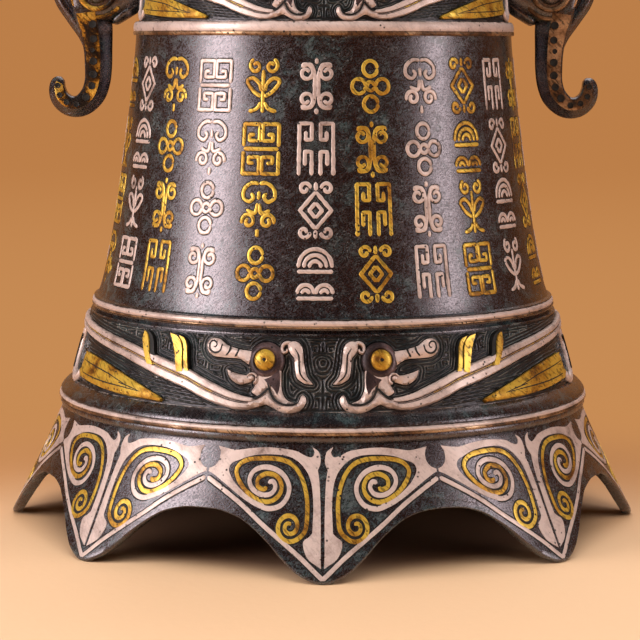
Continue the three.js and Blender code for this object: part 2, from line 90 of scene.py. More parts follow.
def smooth_line(points: Rows, spacing: float) -> Array:
    """Draws a smooth curve through points and spaces its rows evenly.

    Args:
        points: Rows of along, up and any further values such as a half width.
        spacing: Distance between the new rows, in the drawing's own unit.

    Returns:
        The curve's rows.
    """
    p = np.asarray(points, float)
    ends = np.vstack([2 * p[0] - p[1], p, 2 * p[-1] - p[-2]])
    t = np.linspace(0, 1, 12, endpoint=False)[:, None]
    spans = [
        0.5 * (2 * b + (c - a) * t + (2 * a - 5 * b + 4 * c - d) * t**2 + (3 * b - a - 3 * c + d) * t**3)
        for a, b, c, d in zip(ends, ends[1:], ends[2:], ends[3:])
    ]
    dense = np.vstack([*spans, p[-1:]])
    run = run_lengths(dense)
    places = np.linspace(0, run[-1], max(3, round(run[-1] / spacing) + 1))
    return np.stack([np.interp(places, run, column) for column in dense.T], axis=1)


def spiral(centre: Sequence[float], radii: Sequence[float], start: float, turns: float) -> Array:
    """Draws an even spiral.

    Args:
        centre: Its middle, along and up.
        radii: Its first and last radius.
        start: The angle of its first point, in turns.
        turns: How far it winds, negative for clockwise.

    Returns:
        Rows of along and up.
    """
    share = np.linspace(0, 1, max(6, int(abs(turns) * 14)))
    angle = (start + turns * share) * TURN
    radius = radii[0] + (radii[1] - radii[0]) * share
    return np.stack([centre[0] + radius * np.cos(angle), centre[1] + radius * np.sin(angle)], axis=1)


def with_width(points: Rows, *halves: float) -> Array:
    """Adds a half width to each row.

    Args:
        points: Rows of along and up.
        *halves: Half widths, spread evenly from the first row to the last.

    Returns:
        Rows of along, up and half width.
    """
    p = np.asarray(points, float)
    widths = np.interp(np.linspace(0, 1, len(p)), np.linspace(0, 1, len(halves)), halves)
    return np.column_stack([p, widths])


def wander(angle: Array, seed: int, harmonics: int = 40) -> Array:
    """Gives a smooth random value that closes after a full turn.

    Args:
        angle: Where it is read, in radians.
        seed: Draws its waves.
        harmonics: How many waves it sums.

    Returns:
        Values mostly between -1 and 1.
    """
    draw = np.random.default_rng(seed)
    orders = draw.integers(3, 3 + 3 * harmonics, harmonics)
    phases = draw.uniform(0, TURN, harmonics)
    waves = np.cos(orders[:, None] * np.ravel(angle)[None, :] + phases[:, None])
    return (waves.sum(axis=0) / math.sqrt(harmonics)).reshape(np.shape(angle))


def left_of(line: Array) -> Array:
    """Gives the direction to the left of a line.

    Args:
        line: Rows that start with along and up.

    Returns:
        A unit vector for each row.
    """
    run = np.gradient(line[:, :2], axis=0)
    run /= np.maximum(np.linalg.norm(run, axis=1, keepdims=True), 1e-9)
    return np.stack([-run[:, 1], run[:, 0]], axis=1)


def beside(line: Array, side: Array, across: Array) -> tuple[Array, Array]:
    """Gives along and up of points at distances across a line."""
    return line[:, :1] + side[:, :1] * across, line[:, 1:2] + side[:, 1:] * across


def round_off(size: Array, line: Array, ends: tuple[bool, bool], least: float) -> Array:
    """Rounds off the ends of a strip or limb.

    Args:
        size: Its sizes, row by row.
        line: Its rows of along, up and half width.
        ends: Whether its first and its last end are rounded.
        least: The share of the size that is left at the very end.

    Returns:
        The new sizes.
    """
    length = run_lengths(line)
    for is_round, distance in zip(ends, (length, length[-1] - length)):
        if is_round:
            share = np.clip(distance / np.maximum(line[:, 2], THINNEST), 0, 1)
            size = size * np.maximum(least, np.sqrt(1 - (1 - share) ** 2))
    return size


def new_object(name: str, data: bpy.types.ID) -> bpy.types.Object:
    """Makes an object and links it to the scene.

    Args:
        name: Its name.
        data: Its mesh, lamp or camera.

    Returns:
        The object.
    """
    made = bpy.data.objects.new(name, data)
    bpy.context.scene.collection.objects.link(made)
    return made


@dataclass
class Form:
    """Closed bodies under construction, in metres, with a relief value for each vertex."""

    points: list[Array] = field(default_factory=list)
    faces: list[tuple[int, ...]] = field(default_factory=list)
    relief: list[Array] = field(default_factory=list)
    count: int = 0

    def add(
        self, points: Array, faces: Sequence[Sequence[int]], relief: Array | None = None
    ) -> None:
        """Adds one closed body, turned so that its faces point out.

        Args:
            points: Its vertices.
            faces: Its faces, as numbers of vertices.
            relief: A value for each vertex, from 0 in a groove to 1 on a ridge.
        """
        corners = [face[:3] for face in faces] + [(f[0], *f[2:4]) for f in faces if len(f) > 3]
        a, b, c = (points[np.array(corners)[:, i]] - points.mean(axis=0) for i in range(3))
        if np.einsum("ij,ij->", a, np.cross(b, c)) < 0:
            faces = [tuple(reversed(face)) for face in faces]
        self.faces.extend(tuple(i + self.count for i in face) for face in faces)
        self.points.append(points)
        self.relief.append(np.ones(len(points)) if relief is None else np.ravel(relief))
        self.count += len(points)

    def skin(self, grid: Array, ring_closes: bool = False, relief: Array | None = None) -> None:
        """Skins a grid of rings into a closed body.

        Args:
            grid: Rings of points, shaped (rings, points per ring, 3).
            ring_closes: Whether the last ring joins the first; otherwise both ends are capped.
            relief: A value for each point of the grid.
        """
        rings, around = grid.shape[:2]
        number = np.arange(rings * around).reshape(rings, around)
        following = np.roll(number, -1, axis=1)
        low = number if ring_closes else number[:-1]
        high = np.roll(number, -1, axis=0) if ring_closes else number[1:]
        low_next = following if ring_closes else following[:-1]
        high_next = np.roll(following, -1, axis=0) if ring_closes else following[1:]
        faces = np.stack([low, low_next, high_next, high], axis=-1).reshape(-1, 4).tolist()
        points = grid.reshape(-1, 3)
        values = np.ones(rings * around) if relief is None else relief.ravel()
        if not ring_closes:
            points = np.vstack([points, grid[0].mean(axis=0), grid[-1].mean(axis=0)])
            values = np.concatenate([values, [values[0], values[-1]]])
            first, last = rings * around, rings * around + 1
            faces += [(first, b, a) for a, b in zip(number[0], following[0])]
            faces += [(last, a, b) for a, b in zip(number[-1], following[-1])]
        self.add(points, faces, values)

    def to_object(self, name: str) -> bpy.types.Object:
        """Makes the Blender object.

        Args:
            name: Its name.

        Returns:
            The object, linked to the scene.
        """
        mesh = bpy.data.meshes.new(name)
        mesh.from_pydata(np.vstack(self.points).tolist(), [], self.faces)
        values = mesh.attributes.new("relief", "FLOAT", "POINT")
        values.data.foreach_set("value", np.concatenate(self.relief).astype(np.float32))
        mesh.shade_smooth()
        mesh.set_sharp_from_angle(angle=SHARP_ANGLE)
        return new_object(name, mesh)


class Section(Enum):
    """Cross-sections of a strip, from side to side: share of its half width, share of its height."""

    FLUSH = ((-1, 0), (-0.86, 0.8), (-0.4, 1), (0.4, 1), (0.86, 0.8), (1, 0))
    ROUND = ((-1, 0), (-0.9, 0.5), (-0.62, 0.83), (-0.2, 1), (0.2, 1), (0.62, 0.83), (0.9, 0.5), (1, 0))
    GROOVED = (
        (-1, 0), (-0.96, 0.62), (-0.82, 0.92), (-0.5, 1), (-0.2, 0.97), (-0.12, 0.62),
        (-0.04, 0.56), (0.04, 0.74), (0.12, 0.56), (0.2, 0.62), (0.28, 0.97), (0.55, 1),
        (0.84, 0.9), (0.97, 0.6), (1, 0),
    )
    CREASED = (
        (-1, 0), (-0.94, 0.65), (-0.7, 0.97), (-0.25, 1), (-0.12, 0.6), (0.06, 0.6),
        (0.18, 0.98), (0.65, 0.97), (0.93, 0.62), (1, 0),
    )


@dataclass(frozen=True)
class Strip:
    """How a strip is made from a line, in mm: it stands proud, is let in and wavers as handwork does."""

    section: Section = Section.FLUSH
    height: float = 0.16
    sink: float = 0.4
    spacing: float = 0.5
    narrow_ends: tuple[bool, bool] = (True, True)
    waver: float = 0.03

    def lay(self, form: Form, points: Rows, place: Place, seed: int = 0) -> None:
        """Adds the strip to a form.

        Args:
            form: Receives the strip.
            points: Rows of along, up and half width, in mm.
            place: Takes along, up and out to points in metres.
            seed: Draws its wavering width.
        """
        line = smooth_line(points, self.spacing)
        half = line[:, 2] * (1 + self.waver * wander(run_lengths(line) / 30, seed + 11, 24))
        half = round_off(half, line, self.narrow_ends, 0.22)
        shares, heights = np.array(self.section.value).T
        under = np.array([0.9, -0.9])  # the sunk side is a little narrower
        across = np.concatenate([shares, under])[None, :] * half[:, None]
        low = np.full((len(line), 2), -self.sink)
        tall = self.height * np.clip(half / np.maximum(line[:, 2], THINNEST), 0.45, 1)
        out = np.hstack([heights[None, :] * tall[:, None], low])
        relief = np.broadcast_to(np.concatenate([heights, 0 * under])[None, :], out.shape)
        form.skin(place(*beside(line, left_of(line), across), out), relief=relief)


def smooth_outline(runs: Sequence[Rows], spacing: float) -> Array:
    """Joins smooth runs into a closed outline with a corner where one run ends and the next begins."""
    following = (*runs[1:], runs[0])
    return np.vstack([smooth_line((*run, after[0]), spacing)[:-1] for run, after in zip(runs, following)])


def is_inside(points: Array, outline: Array) -> Array:
    """Tells which points lie inside a closed outline.

    Args:
        points: The points.
        outline: The outline's corners.

    Returns:
        True or false for each point.
    """
    x, y = points[:, :1], points[:, 1:]
    a, b = outline, np.roll(outline, -1, axis=0)
    crosses = (a[:, 1] > y) != (b[:, 1] > y)
    rise = np.where(np.abs(b[:, 1] - a[:, 1]) < 1e-12, 1e-12, b[:, 1] - a[:, 1])
    return (crosses & (x < (b[:, 0] - a[:, 0]) * (y - a[:, 1]) / rise + a[:, 0])).sum(axis=1) % 2 == 1


@dataclass(frozen=True)
class Plate:
    """How a flat shape of any outline is made, in mm; edge_share is its edge's height over its own."""

    height: float = 0.16
    edge_share: float = 0.2
    sink: float = 0.4
    pitch: float = 1.6

    def lay(self, form: Form, outline: Array, place: Place) -> None:
        """Adds the plate to a form.

        Args:
            form: Receives the plate.
            outline: Its closed outline, in mm.
            place: Takes along, up and out to points in metres.
        """
        low, high = outline.min(axis=0), outline.max(axis=0)
        steps = [np.arange(a + self.pitch / 2, b, self.pitch) for a, b in zip(low, high)]
        grid = np.stack(np.meshgrid(*steps), axis=-1).reshape(-1, 2)
        grid = grid[is_inside(grid, outline)] if len(grid) else grid
        if len(grid):
            reach = np.linalg.norm(grid[:, None] - outline[None], axis=2).min(axis=1)
            grid = grid[reach > 0.35 * self.pitch]
        flat = np.vstack([outline, grid])
        rim = [(i, (i + 1) % len(outline)) for i in range(len(outline))]
        made = delaunay_2d_cdt([Vector(p) for p in flat], rim, [], 1, 1e-7)
        points, tops = np.array([tuple(p) for p in made[0]]), [tuple(face) for face in made[2]]
        sides = {(a, b) for face in tops for a, b in zip(face, (*face[1:], face[0]))}
        edges = [(a, b) for a, b in sides if (b, a) not in sides]
        out = np.full(len(points), self.height)
        out[[a for a, _ in edges]] = self.height * self.edge_share
        size = len(points)
        everything = np.vstack([place(*points.T, level) for level in (out, 0 * out - self.sink)])
        faces = tops + [tuple(i + size for i in reversed(face)) for face in tops]
        faces += [(b, a, a + size, b + size) for a, b in edges]
        used = sorted({i for face in faces for i in face})
        renumber = {old: new for new, old in enumerate(used)}
        relief = np.concatenate([out / self.height, 0 * out])
        form.add(everything[used], [tuple(renumber[i] for i in face) for face in faces], relief[used])


def upright(rows: Rows) -> Array:
    """Gives the columns of a table, each standing upright."""
    return np.array(rows, float).T[:, :, None]


def boss(form: Form, centre: Sequence[float], profile: Rows, place: Place, around: int = 40) -> None:
    """Adds a round turned boss to a form.

    Args:
        form: Receives the boss.
        centre: Its middle, along and up, in mm.
        profile: Rows of radius and height from its sunk rim to its middle, in mm.
        place: Takes along, up and out to points in metres.
        around: Points in each ring.
    """
    angle = full_turn(around)
    radius, height = upright(profile)
    along = centre[0] + radius * np.cos(angle)
    form.skin(place(along, centre[1] + radius * np.sin(angle), height + 0 * angle))


def turned(
    form: Form,
    profile: Rows,
    centre: Sequence[float] = (0, 0, 0),
    axis: str = "z",
    around: int = 48,
    is_ring: bool = False,
) -> None:
    """Adds a closed turned body to a form.

    Args:
        form: Receives the body.
        profile: Rows of radius and distance along the axis, in mm, from one end to the other.
        centre: Where the axis starts, in mm.
        axis: The direction of the axis, as x, y or z.
        around: Points in each ring.
        is_ring: Whether the profile closes on itself, as for a hoop.
    """
    angle = full_turn(around)
    radius, along = upright(profile)
    first, second, third = radius * np.cos(angle), radius * np.sin(angle), along + 0 * angle
    order = {"z": (first, second, third), "x": (third, first, second), "y": (second, third, first)}[axis]
    form.skin((np.stack(order, axis=-1) + np.array(centre)) * MM, ring_closes=is_ring)


def hoop(radius: float, thick: float, level: float = 0, tall: float | None = None) -> list[Pair]:
    """Gives the profile of a round hoop, for turning as a ring."""
    turn = full_turn(12)
    return [(radius + thick * math.cos(a), level + (tall or thick) * math.sin(a)) for a in turn]


def thread(radius: float, start: float, end: float, step: float = 0.45, depth: float = 0.25) -> list[Pair]:
    """Gives a profile's rows for a thread: a crest and a root by turns."""
    return [(radius - depth * (i % 2), level) for i, level in enumerate(np.arange(start, end, step))]


def plane(side: int) -> Place:
    """Gives the function that takes out, up and across, in mm, to points in metres.

    Args:
        side: 1 for the right side, -1 for the left one, which is turned half round.

    Returns:
        The function.
    """

    def place(out: Array, up: Array, across: Array) -> Array:
        """Takes points of the drawing to metres."""
        return np.stack(np.broadcast_arrays(side * out, side * across, up), axis=-1) * MM

    return place


def mirrored(rows: Rows, face: int) -> Array:
    """Gives a limb's rows with their shift to one side of the plane, 1 or -1."""
    return np.array(rows) * [1, 1, 1, 1, face]


def on_face(place: Place, face: int, level: float) -> Place:
    """Gives the function that lays points out from one face of a limb.

    Args:
        place: The limb's own function.
        face: 1 or -1 for the side across its plane.
        level: How far the face lies from that plane.

    Returns:
        The function.
    """

    def lay(along: Array, up: Array, proud: Array) -> Array:
        """Lays points onto the face."""
        return place(along, up, face * (level + proud))

    return lay


class Girth(Enum):
    """Half cross-sections of a limb, from its outer to its inner side: share across, share deep."""

    OVAL = tuple((math.cos(a), math.sin(a)) for a in np.linspace(0, math.pi, 12))
    WEDGE = (
        (1, 0), (0.99, 0.45), (0.93, 0.82), (0.78, 0.97), (0.45, 1), (0.05, 0.99), (-0.22, 0.93),
        (-0.34, 0.74), (-0.6, 0.5), (-0.88, 0.3), (-0.98, 0.14), (-1, 0),
    )
    RIDGED = (
        (1.12, 0), (0.9, 0.16), (0.84, 0.4), (0.72, 0.68), (0.45, 0.9), (0.12, 1), (-0.2, 0.98),
        (-0.5, 0.84), (-0.78, 0.6), (-0.94, 0.3), (-1, 0),
    )


@dataclass(frozen=True)
class Limb:
    """How a rounded body is drawn along a path in an upright plane.

    Beads give the length of one swelling along it in mm, and its height as a share, as for scales.
    """

    girth: Girth = Girth.OVAL
    spacing: float = 0.8
    round_ends: tuple[bool, bool] = (True, True)
    beads: Pair | None = None

    def course(self, rows: Rows) -> tuple[Array, Array, Array]:
        """Works out the limb's rings.

        Args:
            rows: Rows of out, up, half size in the plane, half size across it, and shift across it.

        Returns:
            The ring's middles and sizes, the direction to the limb's outer side, and a size share.
        """
        line = smooth_line(rows, self.spacing)
        size = np.ones(len(line))
        if self.beads:
            size += self.beads[1] * (2 * np.abs(np.sin(run_lengths(line) / self.beads[0] * math.pi)) - 1)
        return line, left_of(line), round_off(size, line, self.round_ends, 0.14)[:, None]

    def lay(self, form: Form, rows: Rows, place: Place) -> None:
        """Adds the limb to a form.

        Args:
            form: Receives the limb.
            rows: Rows of out, up, half size in the plane, half size across it, and shift across it.
            place: Takes out, up and across to points in metres.
        """
        line, side, size = self.course(rows)
        half = np.array(self.girth.value)
        across, deep = np.vstack([half, half[-2:0:-1] * [1, -1]]).T
        across, deep = across * line[:, 2:3] * size, deep * line[:, 3:4] * size
        form.skin(place(*beside(line, side, across), line[:, 4:5] + deep))

    def clad(self, form: Form, rows: Rows, place: Place, cover: Pair, stretch: Pair, face: int) -> None:
        """Adds a sheet of inlay that lies on one face of the limb.

        Args:
            form: Receives the sheet.
            rows: The limb's rows.
            place: Takes out, up and across to points in metres.
            cover: Where it starts and ends on the half section, from 0 outside to 1 inside.
            stretch: Where it starts and ends along the limb, from 0 to 1.
            face: 1 or -1 for the side across the plane.
        """
        proud, sunk = 0.22, 0.5
        line, side, size = self.course(rows)
        first, last = (round(share * (len(line) - 1)) for share in stretch)
        line, side, size = line[first:last + 1], side[first:last + 1], size[first:last + 1]
        half = np.array(self.girth.value)
        places = np.linspace(*cover, 9) * (len(half) - 1)
        across, deep = (np.interp(places, np.arange(len(half)), column) for column in half.T)
        rings = []
        for shift, order in ((proud, 1), (-sunk, -1)):
            wide = across[::order] * (line[:, 2:3] * size + shift)
            rings.append((wide, deep[::order] * (line[:, 3:4] * size + shift) * face))
        wide, high = (np.hstack(parts) for parts in zip(*rings))
        form.skin(place(*beside(line, side, wide), line[:, 4:5] + high))


# Finishes


class Shade:
    """A material's node tree, with short methods for the nodes that the finishes use."""

    def __init__(self, name: str) -> None:
        """Starts an empty material with one shader.

        Args:
            name: Its name.
        """
        self.material = bpy.data.materials.new(name)
        self.material.use_nodes = True
        self.tree = self.material.node_tree
        self.shader = self.tree.nodes["Principled BSDF"]
        self.object_place = self.tree.nodes.new("ShaderNodeTexCoord").outputs["Object"]

    def node(
        self, kind: str, settings: dict | None = None, *first: object, **named: object
    ) -> bpy.types.Node:
        """Adds a node, sets it and feeds its inputs.

        Args:
            kind: The node's type, without its ShaderNode prefix.
            settings: Its own properties.
            *first: Values or sockets for its first inputs.
            **named: Values or sockets by input name, with _ for a space.

        Returns:
            The node.
        """
        made = self.tree.nodes.new("ShaderNode" + kind)
        for key, value in (settings or {}).items():
            setattr(made, key, value)
        for socket, value in zip(made.inputs, first):
            self.feed(socket, value)
        for key, value in named.items():
            self.feed(made.inputs[key.replace("_", " ")], value)
        return made

    def feed(self, socket: Socket, value: object) -> None:
        """Links a socket to another, or sets its value.

        Args:
            socket: The input.
            value: The socket that feeds it, or its value; a colour is given without its alpha.
        """
        if isinstance(value, Socket):
            self.tree.links.new(value, socket)
            return
        is_colour = isinstance(value, tuple) and socket.type == "RGBA"
        socket.default_value = (*value, 1) if is_colour else value

    def relief(self) -> Socket:
        """Gives the vertex value that says how far a point stands out of its groove."""
        return self.node("Attribute", {"attribute_name": "relief"}).outputs["Fac"]

    def stretched(self, scale: Point, turn: Point = (0, 0, 0)) -> Socket:
        """Gives the object's place, turned and then stretched, for streaks and scratches."""
        turned_place = self.node("Mapping", Vector=self.object_place, Rotation=Vector(turn))
        return self.node("Mapping", Vector=turned_place.outputs[0], Scale=Vector(scale)).outputs[0]

    def noise(
        self, scale: float, detail: float = 5, rough: float = 0.55, bend: float = 0, place: object = None
    ) -> Socket:
        """Gives cloudy noise from 0 to 1.

        Args:
            scale: Clouds per metre.
            detail: Octaves.
            rough: Strength of the finer octaves.
            bend: How far it distorts itself.
            place: Where it is read; the object's place if not given.

        Returns:
            The noise.
        """
        place = place or self.object_place
        values = {"Scale": scale, "Detail": detail, "Roughness": rough, "Distortion": bend}
        return self.node("TexNoise", Vector=place, **values).outputs[0]

    def cells(self, scale: float, feature: str, bend: float = 0) -> Socket:
        """Gives the distance in a pattern of cells.

        Args:
            scale: Cells per metre.
            feature: F1 for spots, DISTANCE_TO_EDGE for cracks.
            bend: How far noise bends the cells, in metres.

        Returns:
            The distance.
        """
        place = self.object_place
        if bend:
            made = self.node("TexNoise", Vector=place, Scale=scale * 2.5, Detail=4.0)
            shift = self.node("VectorMath", {"operation": "SCALE"}, made.outputs["Color"], Scale=bend)
            place = self.node("VectorMath", {"operation": "ADD"}, place, shift.outputs[0]).outputs[0]
        return self.node("TexVoronoi", {"feature": feature}, Vector=place, Scale=scale).outputs["Distance"]

    def distance_to(self, middle: Point) -> Socket:
        """Gives the distance to a point of the object, in metres."""
        return self.node("VectorMath", {"operation": "DISTANCE"}, self.object_place, middle).outputs["Value"]

    def between(
        self, value: object, low: float, high: float, start: float = 0, end: float = 1
    ) -> Socket:
        """Maps a value smoothly from one range to another, and stays inside it.

        Args:
            value: The value.
            low: Where its range starts.
            high: Where its range ends.
            start: What low becomes.
            end: What high becomes.

        Returns:
            The mapped value.
        """
        made = self.node(
            "MapRange", {"interpolation_type": "SMOOTHSTEP"},
            Value=value, From_Min=low, From_Max=high, To_Min=start, To_Max=end,
        )
        return made.outputs[0]

    def calculate(self, operation: str, first: object, second: object) -> Socket:
        """Gives the result of a Math node."""
        return self.node("Math", {"operation": operation}, first, second).outputs[0]

    def times(self, first: object, second: object) -> Socket:
        """Gives the product of two values."""
        return self.calculate("MULTIPLY", first, second)

    def plus(self, first: object, second: object) -> Socket:
        """Gives the sum of two values."""
        return self.calculate("ADD", first, second)

    def minus(self, first: object, second: object) -> Socket:
        """Gives the first value less the second."""
        return self.calculate("SUBTRACT", first, second)

    def most(self, first: object, second: object) -> Socket:
        """Gives the larger of two values."""
        return self.calculate("MAXIMUM", first, second)

    def palette(self, value: object, stops: Sequence[tuple[float, Colour]]) -> Socket:
        """Gives a colour from a ramp.

        Args:
            value: Where the ramp is read.
            stops: Places from 0 to 1 and their colours.

        Returns:
            The colour.
        """
        made = self.node("ValToRGB", Fac=value)
        ramp = made.color_ramp
        while len(ramp.elements) < len(stops):
            ramp.elements.new(0.5)
        for element, (position, colour) in zip(ramp.elements, stops):
            element.position = position
            element.color = (*colour, 1)
        return made.outputs["Color"]

    def mix(self, share: object, first: object, second: object) -> Socket:
        """Mixes two colours.

        Args:
            share: Share of the second one.
            first: The first colour.
            second: The second colour.

        Returns:
            The mixed colour.
        """
        made = self.node("Mix", {"data_type": "RGBA"})
        for index, value in ((0, share), (6, first), (7, second)):
            self.feed(made.inputs[index], value)
        return made.outputs[2]

    def bump(self, height: object, distance: float, below: object = None) -> Socket:
        """Gives a normal bent by a height.

        Args:
            height: The height, from 0 to 1.
            distance: What a height of 1 measures, in metres.
            below: A normal that is bent already.

        Returns:
            The normal.
        """
        made = self.node("Bump", Height=height, Distance=distance)
        if below:
            self.feed(made.inputs["Normal"], below)
        return made.outputs[0]

    def finish(self, colour: object, roughness: object, metallic: float, normal: object) -> Material:
        """Wires the shader.

        Args:
            colour: Its base colour.
            roughness: Its roughness.
            metallic: Share of bare metal.
            normal: Its bent normal.

        Returns:
            The material.
        """
        for key, value in (("Base Color", colour), ("Roughness", roughness), ("Normal", normal)):
            self.feed(self.shader.inputs[key], value)
        self.shader.inputs["Metallic"].default_value = metallic
        return self.material


@dataclass(frozen=True)
class PatinatedBronze:
    """Blue-black bronze with green bloom, rubbed smooth where it is handled, under a coat of wax.

    Stops run from the darkest ground to the bloom; wax is the coat's weight, roughness and index.
    Where it is carved, dirt darkens the grooves, and the ridges are painted pale in patches, partly as worn
    metal and partly as painted glints.
    """

    name: str = "patinated_bronze"
    stops: tuple[tuple[float, Colour], ...] = (
        (0.40, (0.0026, 0.0026, 0.0034)),
        (0.48, (0.0058, 0.0060, 0.0072)),
        (0.53, (0.0072, 0.0145, 0.0165)),
        (0.575, (0.017, 0.040, 0.043)),
        (0.65, (0.072, 0.110, 0.108)),
    )
    rubbed: Colour = (0.0108, 0.0095, 0.0104)
    groove: Colour = (0.0026, 0.0062, 0.0066)
    fleck: Colour = (0.13, 0.15, 0.15)
    crack: Colour = (0.002, 0.003, 0.003)
    # pale ridge colour: partly worn metal, partly painted glint
    worn: Colour = (0.24, 0.21, 0.19)
    roughness: Pair = (0.17, 0.42)
    metallic: float = 0.15
    gloss_index: float = 2.0
    gloss_colour: Colour = (1.0, 0.86, 0.91)
    wax: tuple[float, float, float] = (0.2, 0.3, 1.5)
    carved: bool = False

    def build(self) -> Material:
        """Builds the material.

        Returns:
            The material.
        """
        s = Shade(self.name)
        clouds = s.noise(150, 9, 0.66, 0.6)
        zones = s.noise(26, 5, 0.6, 0.4)
        grain = s.noise(900, 5, 0.7)
        mottled = s.plus(s.times(clouds, 0.5), s.times(zones, 0.28))
        mottled = s.plus(mottled, s.times(grain, 0.22))
        colour = s.palette(mottled, self.stops)
        rubs = s.between(s.noise(14, 6, 0.62, 0.3), 0.46, 0.66)
        colour = s.mix(s.times(rubs, 0.5), colour, self.rubbed)
        specks = s.noise(1700, 3, 0.65)
        flecks = s.between(specks, 0.57, 0.67)
        flecks = s.times(flecks, s.between(clouds, 0.42, 0.58))
        colour = s.mix(s.times(flecks, 0.75), colour, self.fleck)
        cracks = s.between(s.cells(17, "DISTANCE_TO_EDGE", 0.03), 0.0, 0.004, 1, 0)
        cracks = s.times(cracks, s.between(s.noise(9, 3), 0.5, 0.62))
        colour = s.mix(s.times(cracks, 0.85), colour, self.crack)
        strokes = s.noise(1, 3, 0.6, place=s.stretched((500, 500, 3200), (0.75, 0.4, 0)))
        scrapes = s.noise(1, 3, 0.6, place=s.stretched((420, 420, 2700), (-0.5, 0.7, 0.3)))
        turned_marks = s.noise(1, 3, 0.5, place=s.stretched((30, 30, 2600)))
        if self.carved:
            low = s.between(s.relief(), 0.1, 0.75, 1, 0)
            colour = s.mix(s.times(low, 0.95), colour, self.groove)
            # pale ridges: partly worn metal and partly painted glints
            worn = s.times(s.between(s.relief(), 0.72, 1.0), s.between(clouds, 0.44, 0.6))
            colour = s.mix(s.times(worn, 0.9), colour, self.worn)
        dull = s.plus(s.times(clouds, 0.25), s.times(strokes, 0.25))
        dull = s.plus(dull, s.times(s.most(scrapes, grain), 0.5))
        roughness = s.between(dull, 0.45, 0.64, *self.roughness)
        roughness = s.plus(roughness, s.between(specks, 0.50, 0.62, 0, 0.22))
        normal = s.bump(s.plus(s.noise(1600, 4, 0.6), s.times(cracks, -3.0)), 0.00004)
        lines = s.plus(strokes, s.times(turned_marks, 0.4))
        normal = s.bump(s.plus(lines, s.times(scrapes, 0.6)), 0.00003, normal)
        normal = s.bump(clouds, 0.00003, normal)
        s.shader.inputs["IOR"].default_value = self.gloss_index
        s.shader.inputs["Specular Tint"].default_value = (*self.gloss_colour, 1)
        for socket, value in zip(("Coat Weight", "Coat Roughness", "Coat IOR"), self.wax):
            s.shader.inputs[socket].default_value = value
        s.feed(s.shader.inputs["Coat Normal"], normal)
        return s.finish(colour, roughness, self.metallic, normal)


@dataclass(frozen=True)
class InlaidMetal:
    """Precious metal beaten into the bronze, with pits, nicks, chisel cuts and tarnish along its edges."""

    name: str
    stops: tuple[tuple[float, Colour], ...]
    pit: Colour
    roughness: Pair
    metallic: float
    cut_share: float = 0.5
    edge: Colour = (0.055, 0.032, 0.020)

    def build(self) -> Material:
        """Builds the material.

        Returns:
            The material.
        """
        s = Shade(self.name)
        tarnish = s.noise(70, 7, 0.6, 0.4)
        grain = s.noise(1500, 4, 0.6)
        mixed = s.plus(s.times(tarnish, 0.82), s.times(grain, 0.18))
        colour = s.palette(mixed, self.stops)
        pits = s.between(s.cells(460, "F1"), 0.13, 0.25, 1, 0)
        pits = s.times(pits, s.between(s.noise(110, 3), 0.49, 0.57))
        cuts = s.noise(1, 2, 0.4, place=s.stretched((1500, 300, 300), (0.2, 0.75, 0.3)))
        cuts = s.times(s.between(cuts, 0.54, 0.66), self.cut_share)
        marks = s.most(pits, cuts)
        edge = s.times(s.between(s.relief(), 0.05, 0.6, 1, 0), s.between(s.noise(190, 4), 0.36, 0.56))
        colour = s.mix(edge, colour, self.edge)
        colour = s.mix(marks, colour, self.pit)
        clean = s.plus(s.times(tarnish, -1.0), 1.0)
        roughness = s.between(clean, 0.35, 0.62, *self.roughness)
        normal = s.bump(s.minus(s.times(grain, 0.5), marks), 0.00006)
        normal = s.bump(s.noise(210, 3), 0.00008, normal)
        return s.finish(colour, roughness, self.metallic, normal)


@dataclass(frozen=True)
class BlackSeam:
    """The dark line of old polish and dirt that lies along an inlay."""

    name: str = "black_seam"
    colour: Colour = (0.0055, 0.0058, 0.0060)
    dust: Colour = (0.017, 0.018, 0.016)

    def build(self) -> Material:
        """Builds the material.

        Returns:
            The material.
        """
        s = Shade(self.name)
        grain = s.noise(700, 5, 0.6)
        colour = s.mix(s.between(grain, 0.45, 0.7), self.colour, self.dust)
        return s.finish(colour, s.between(grain, 0.3, 0.7, 0.5, 0.8), 0.2, s.bump(grain, 0.00012))


def built(finish: PatinatedBronze | InlaidMetal | BlackSeam) -> Material:
    """Gives the field of a finish that is built with its set."""
    return field(default_factory=finish.build)


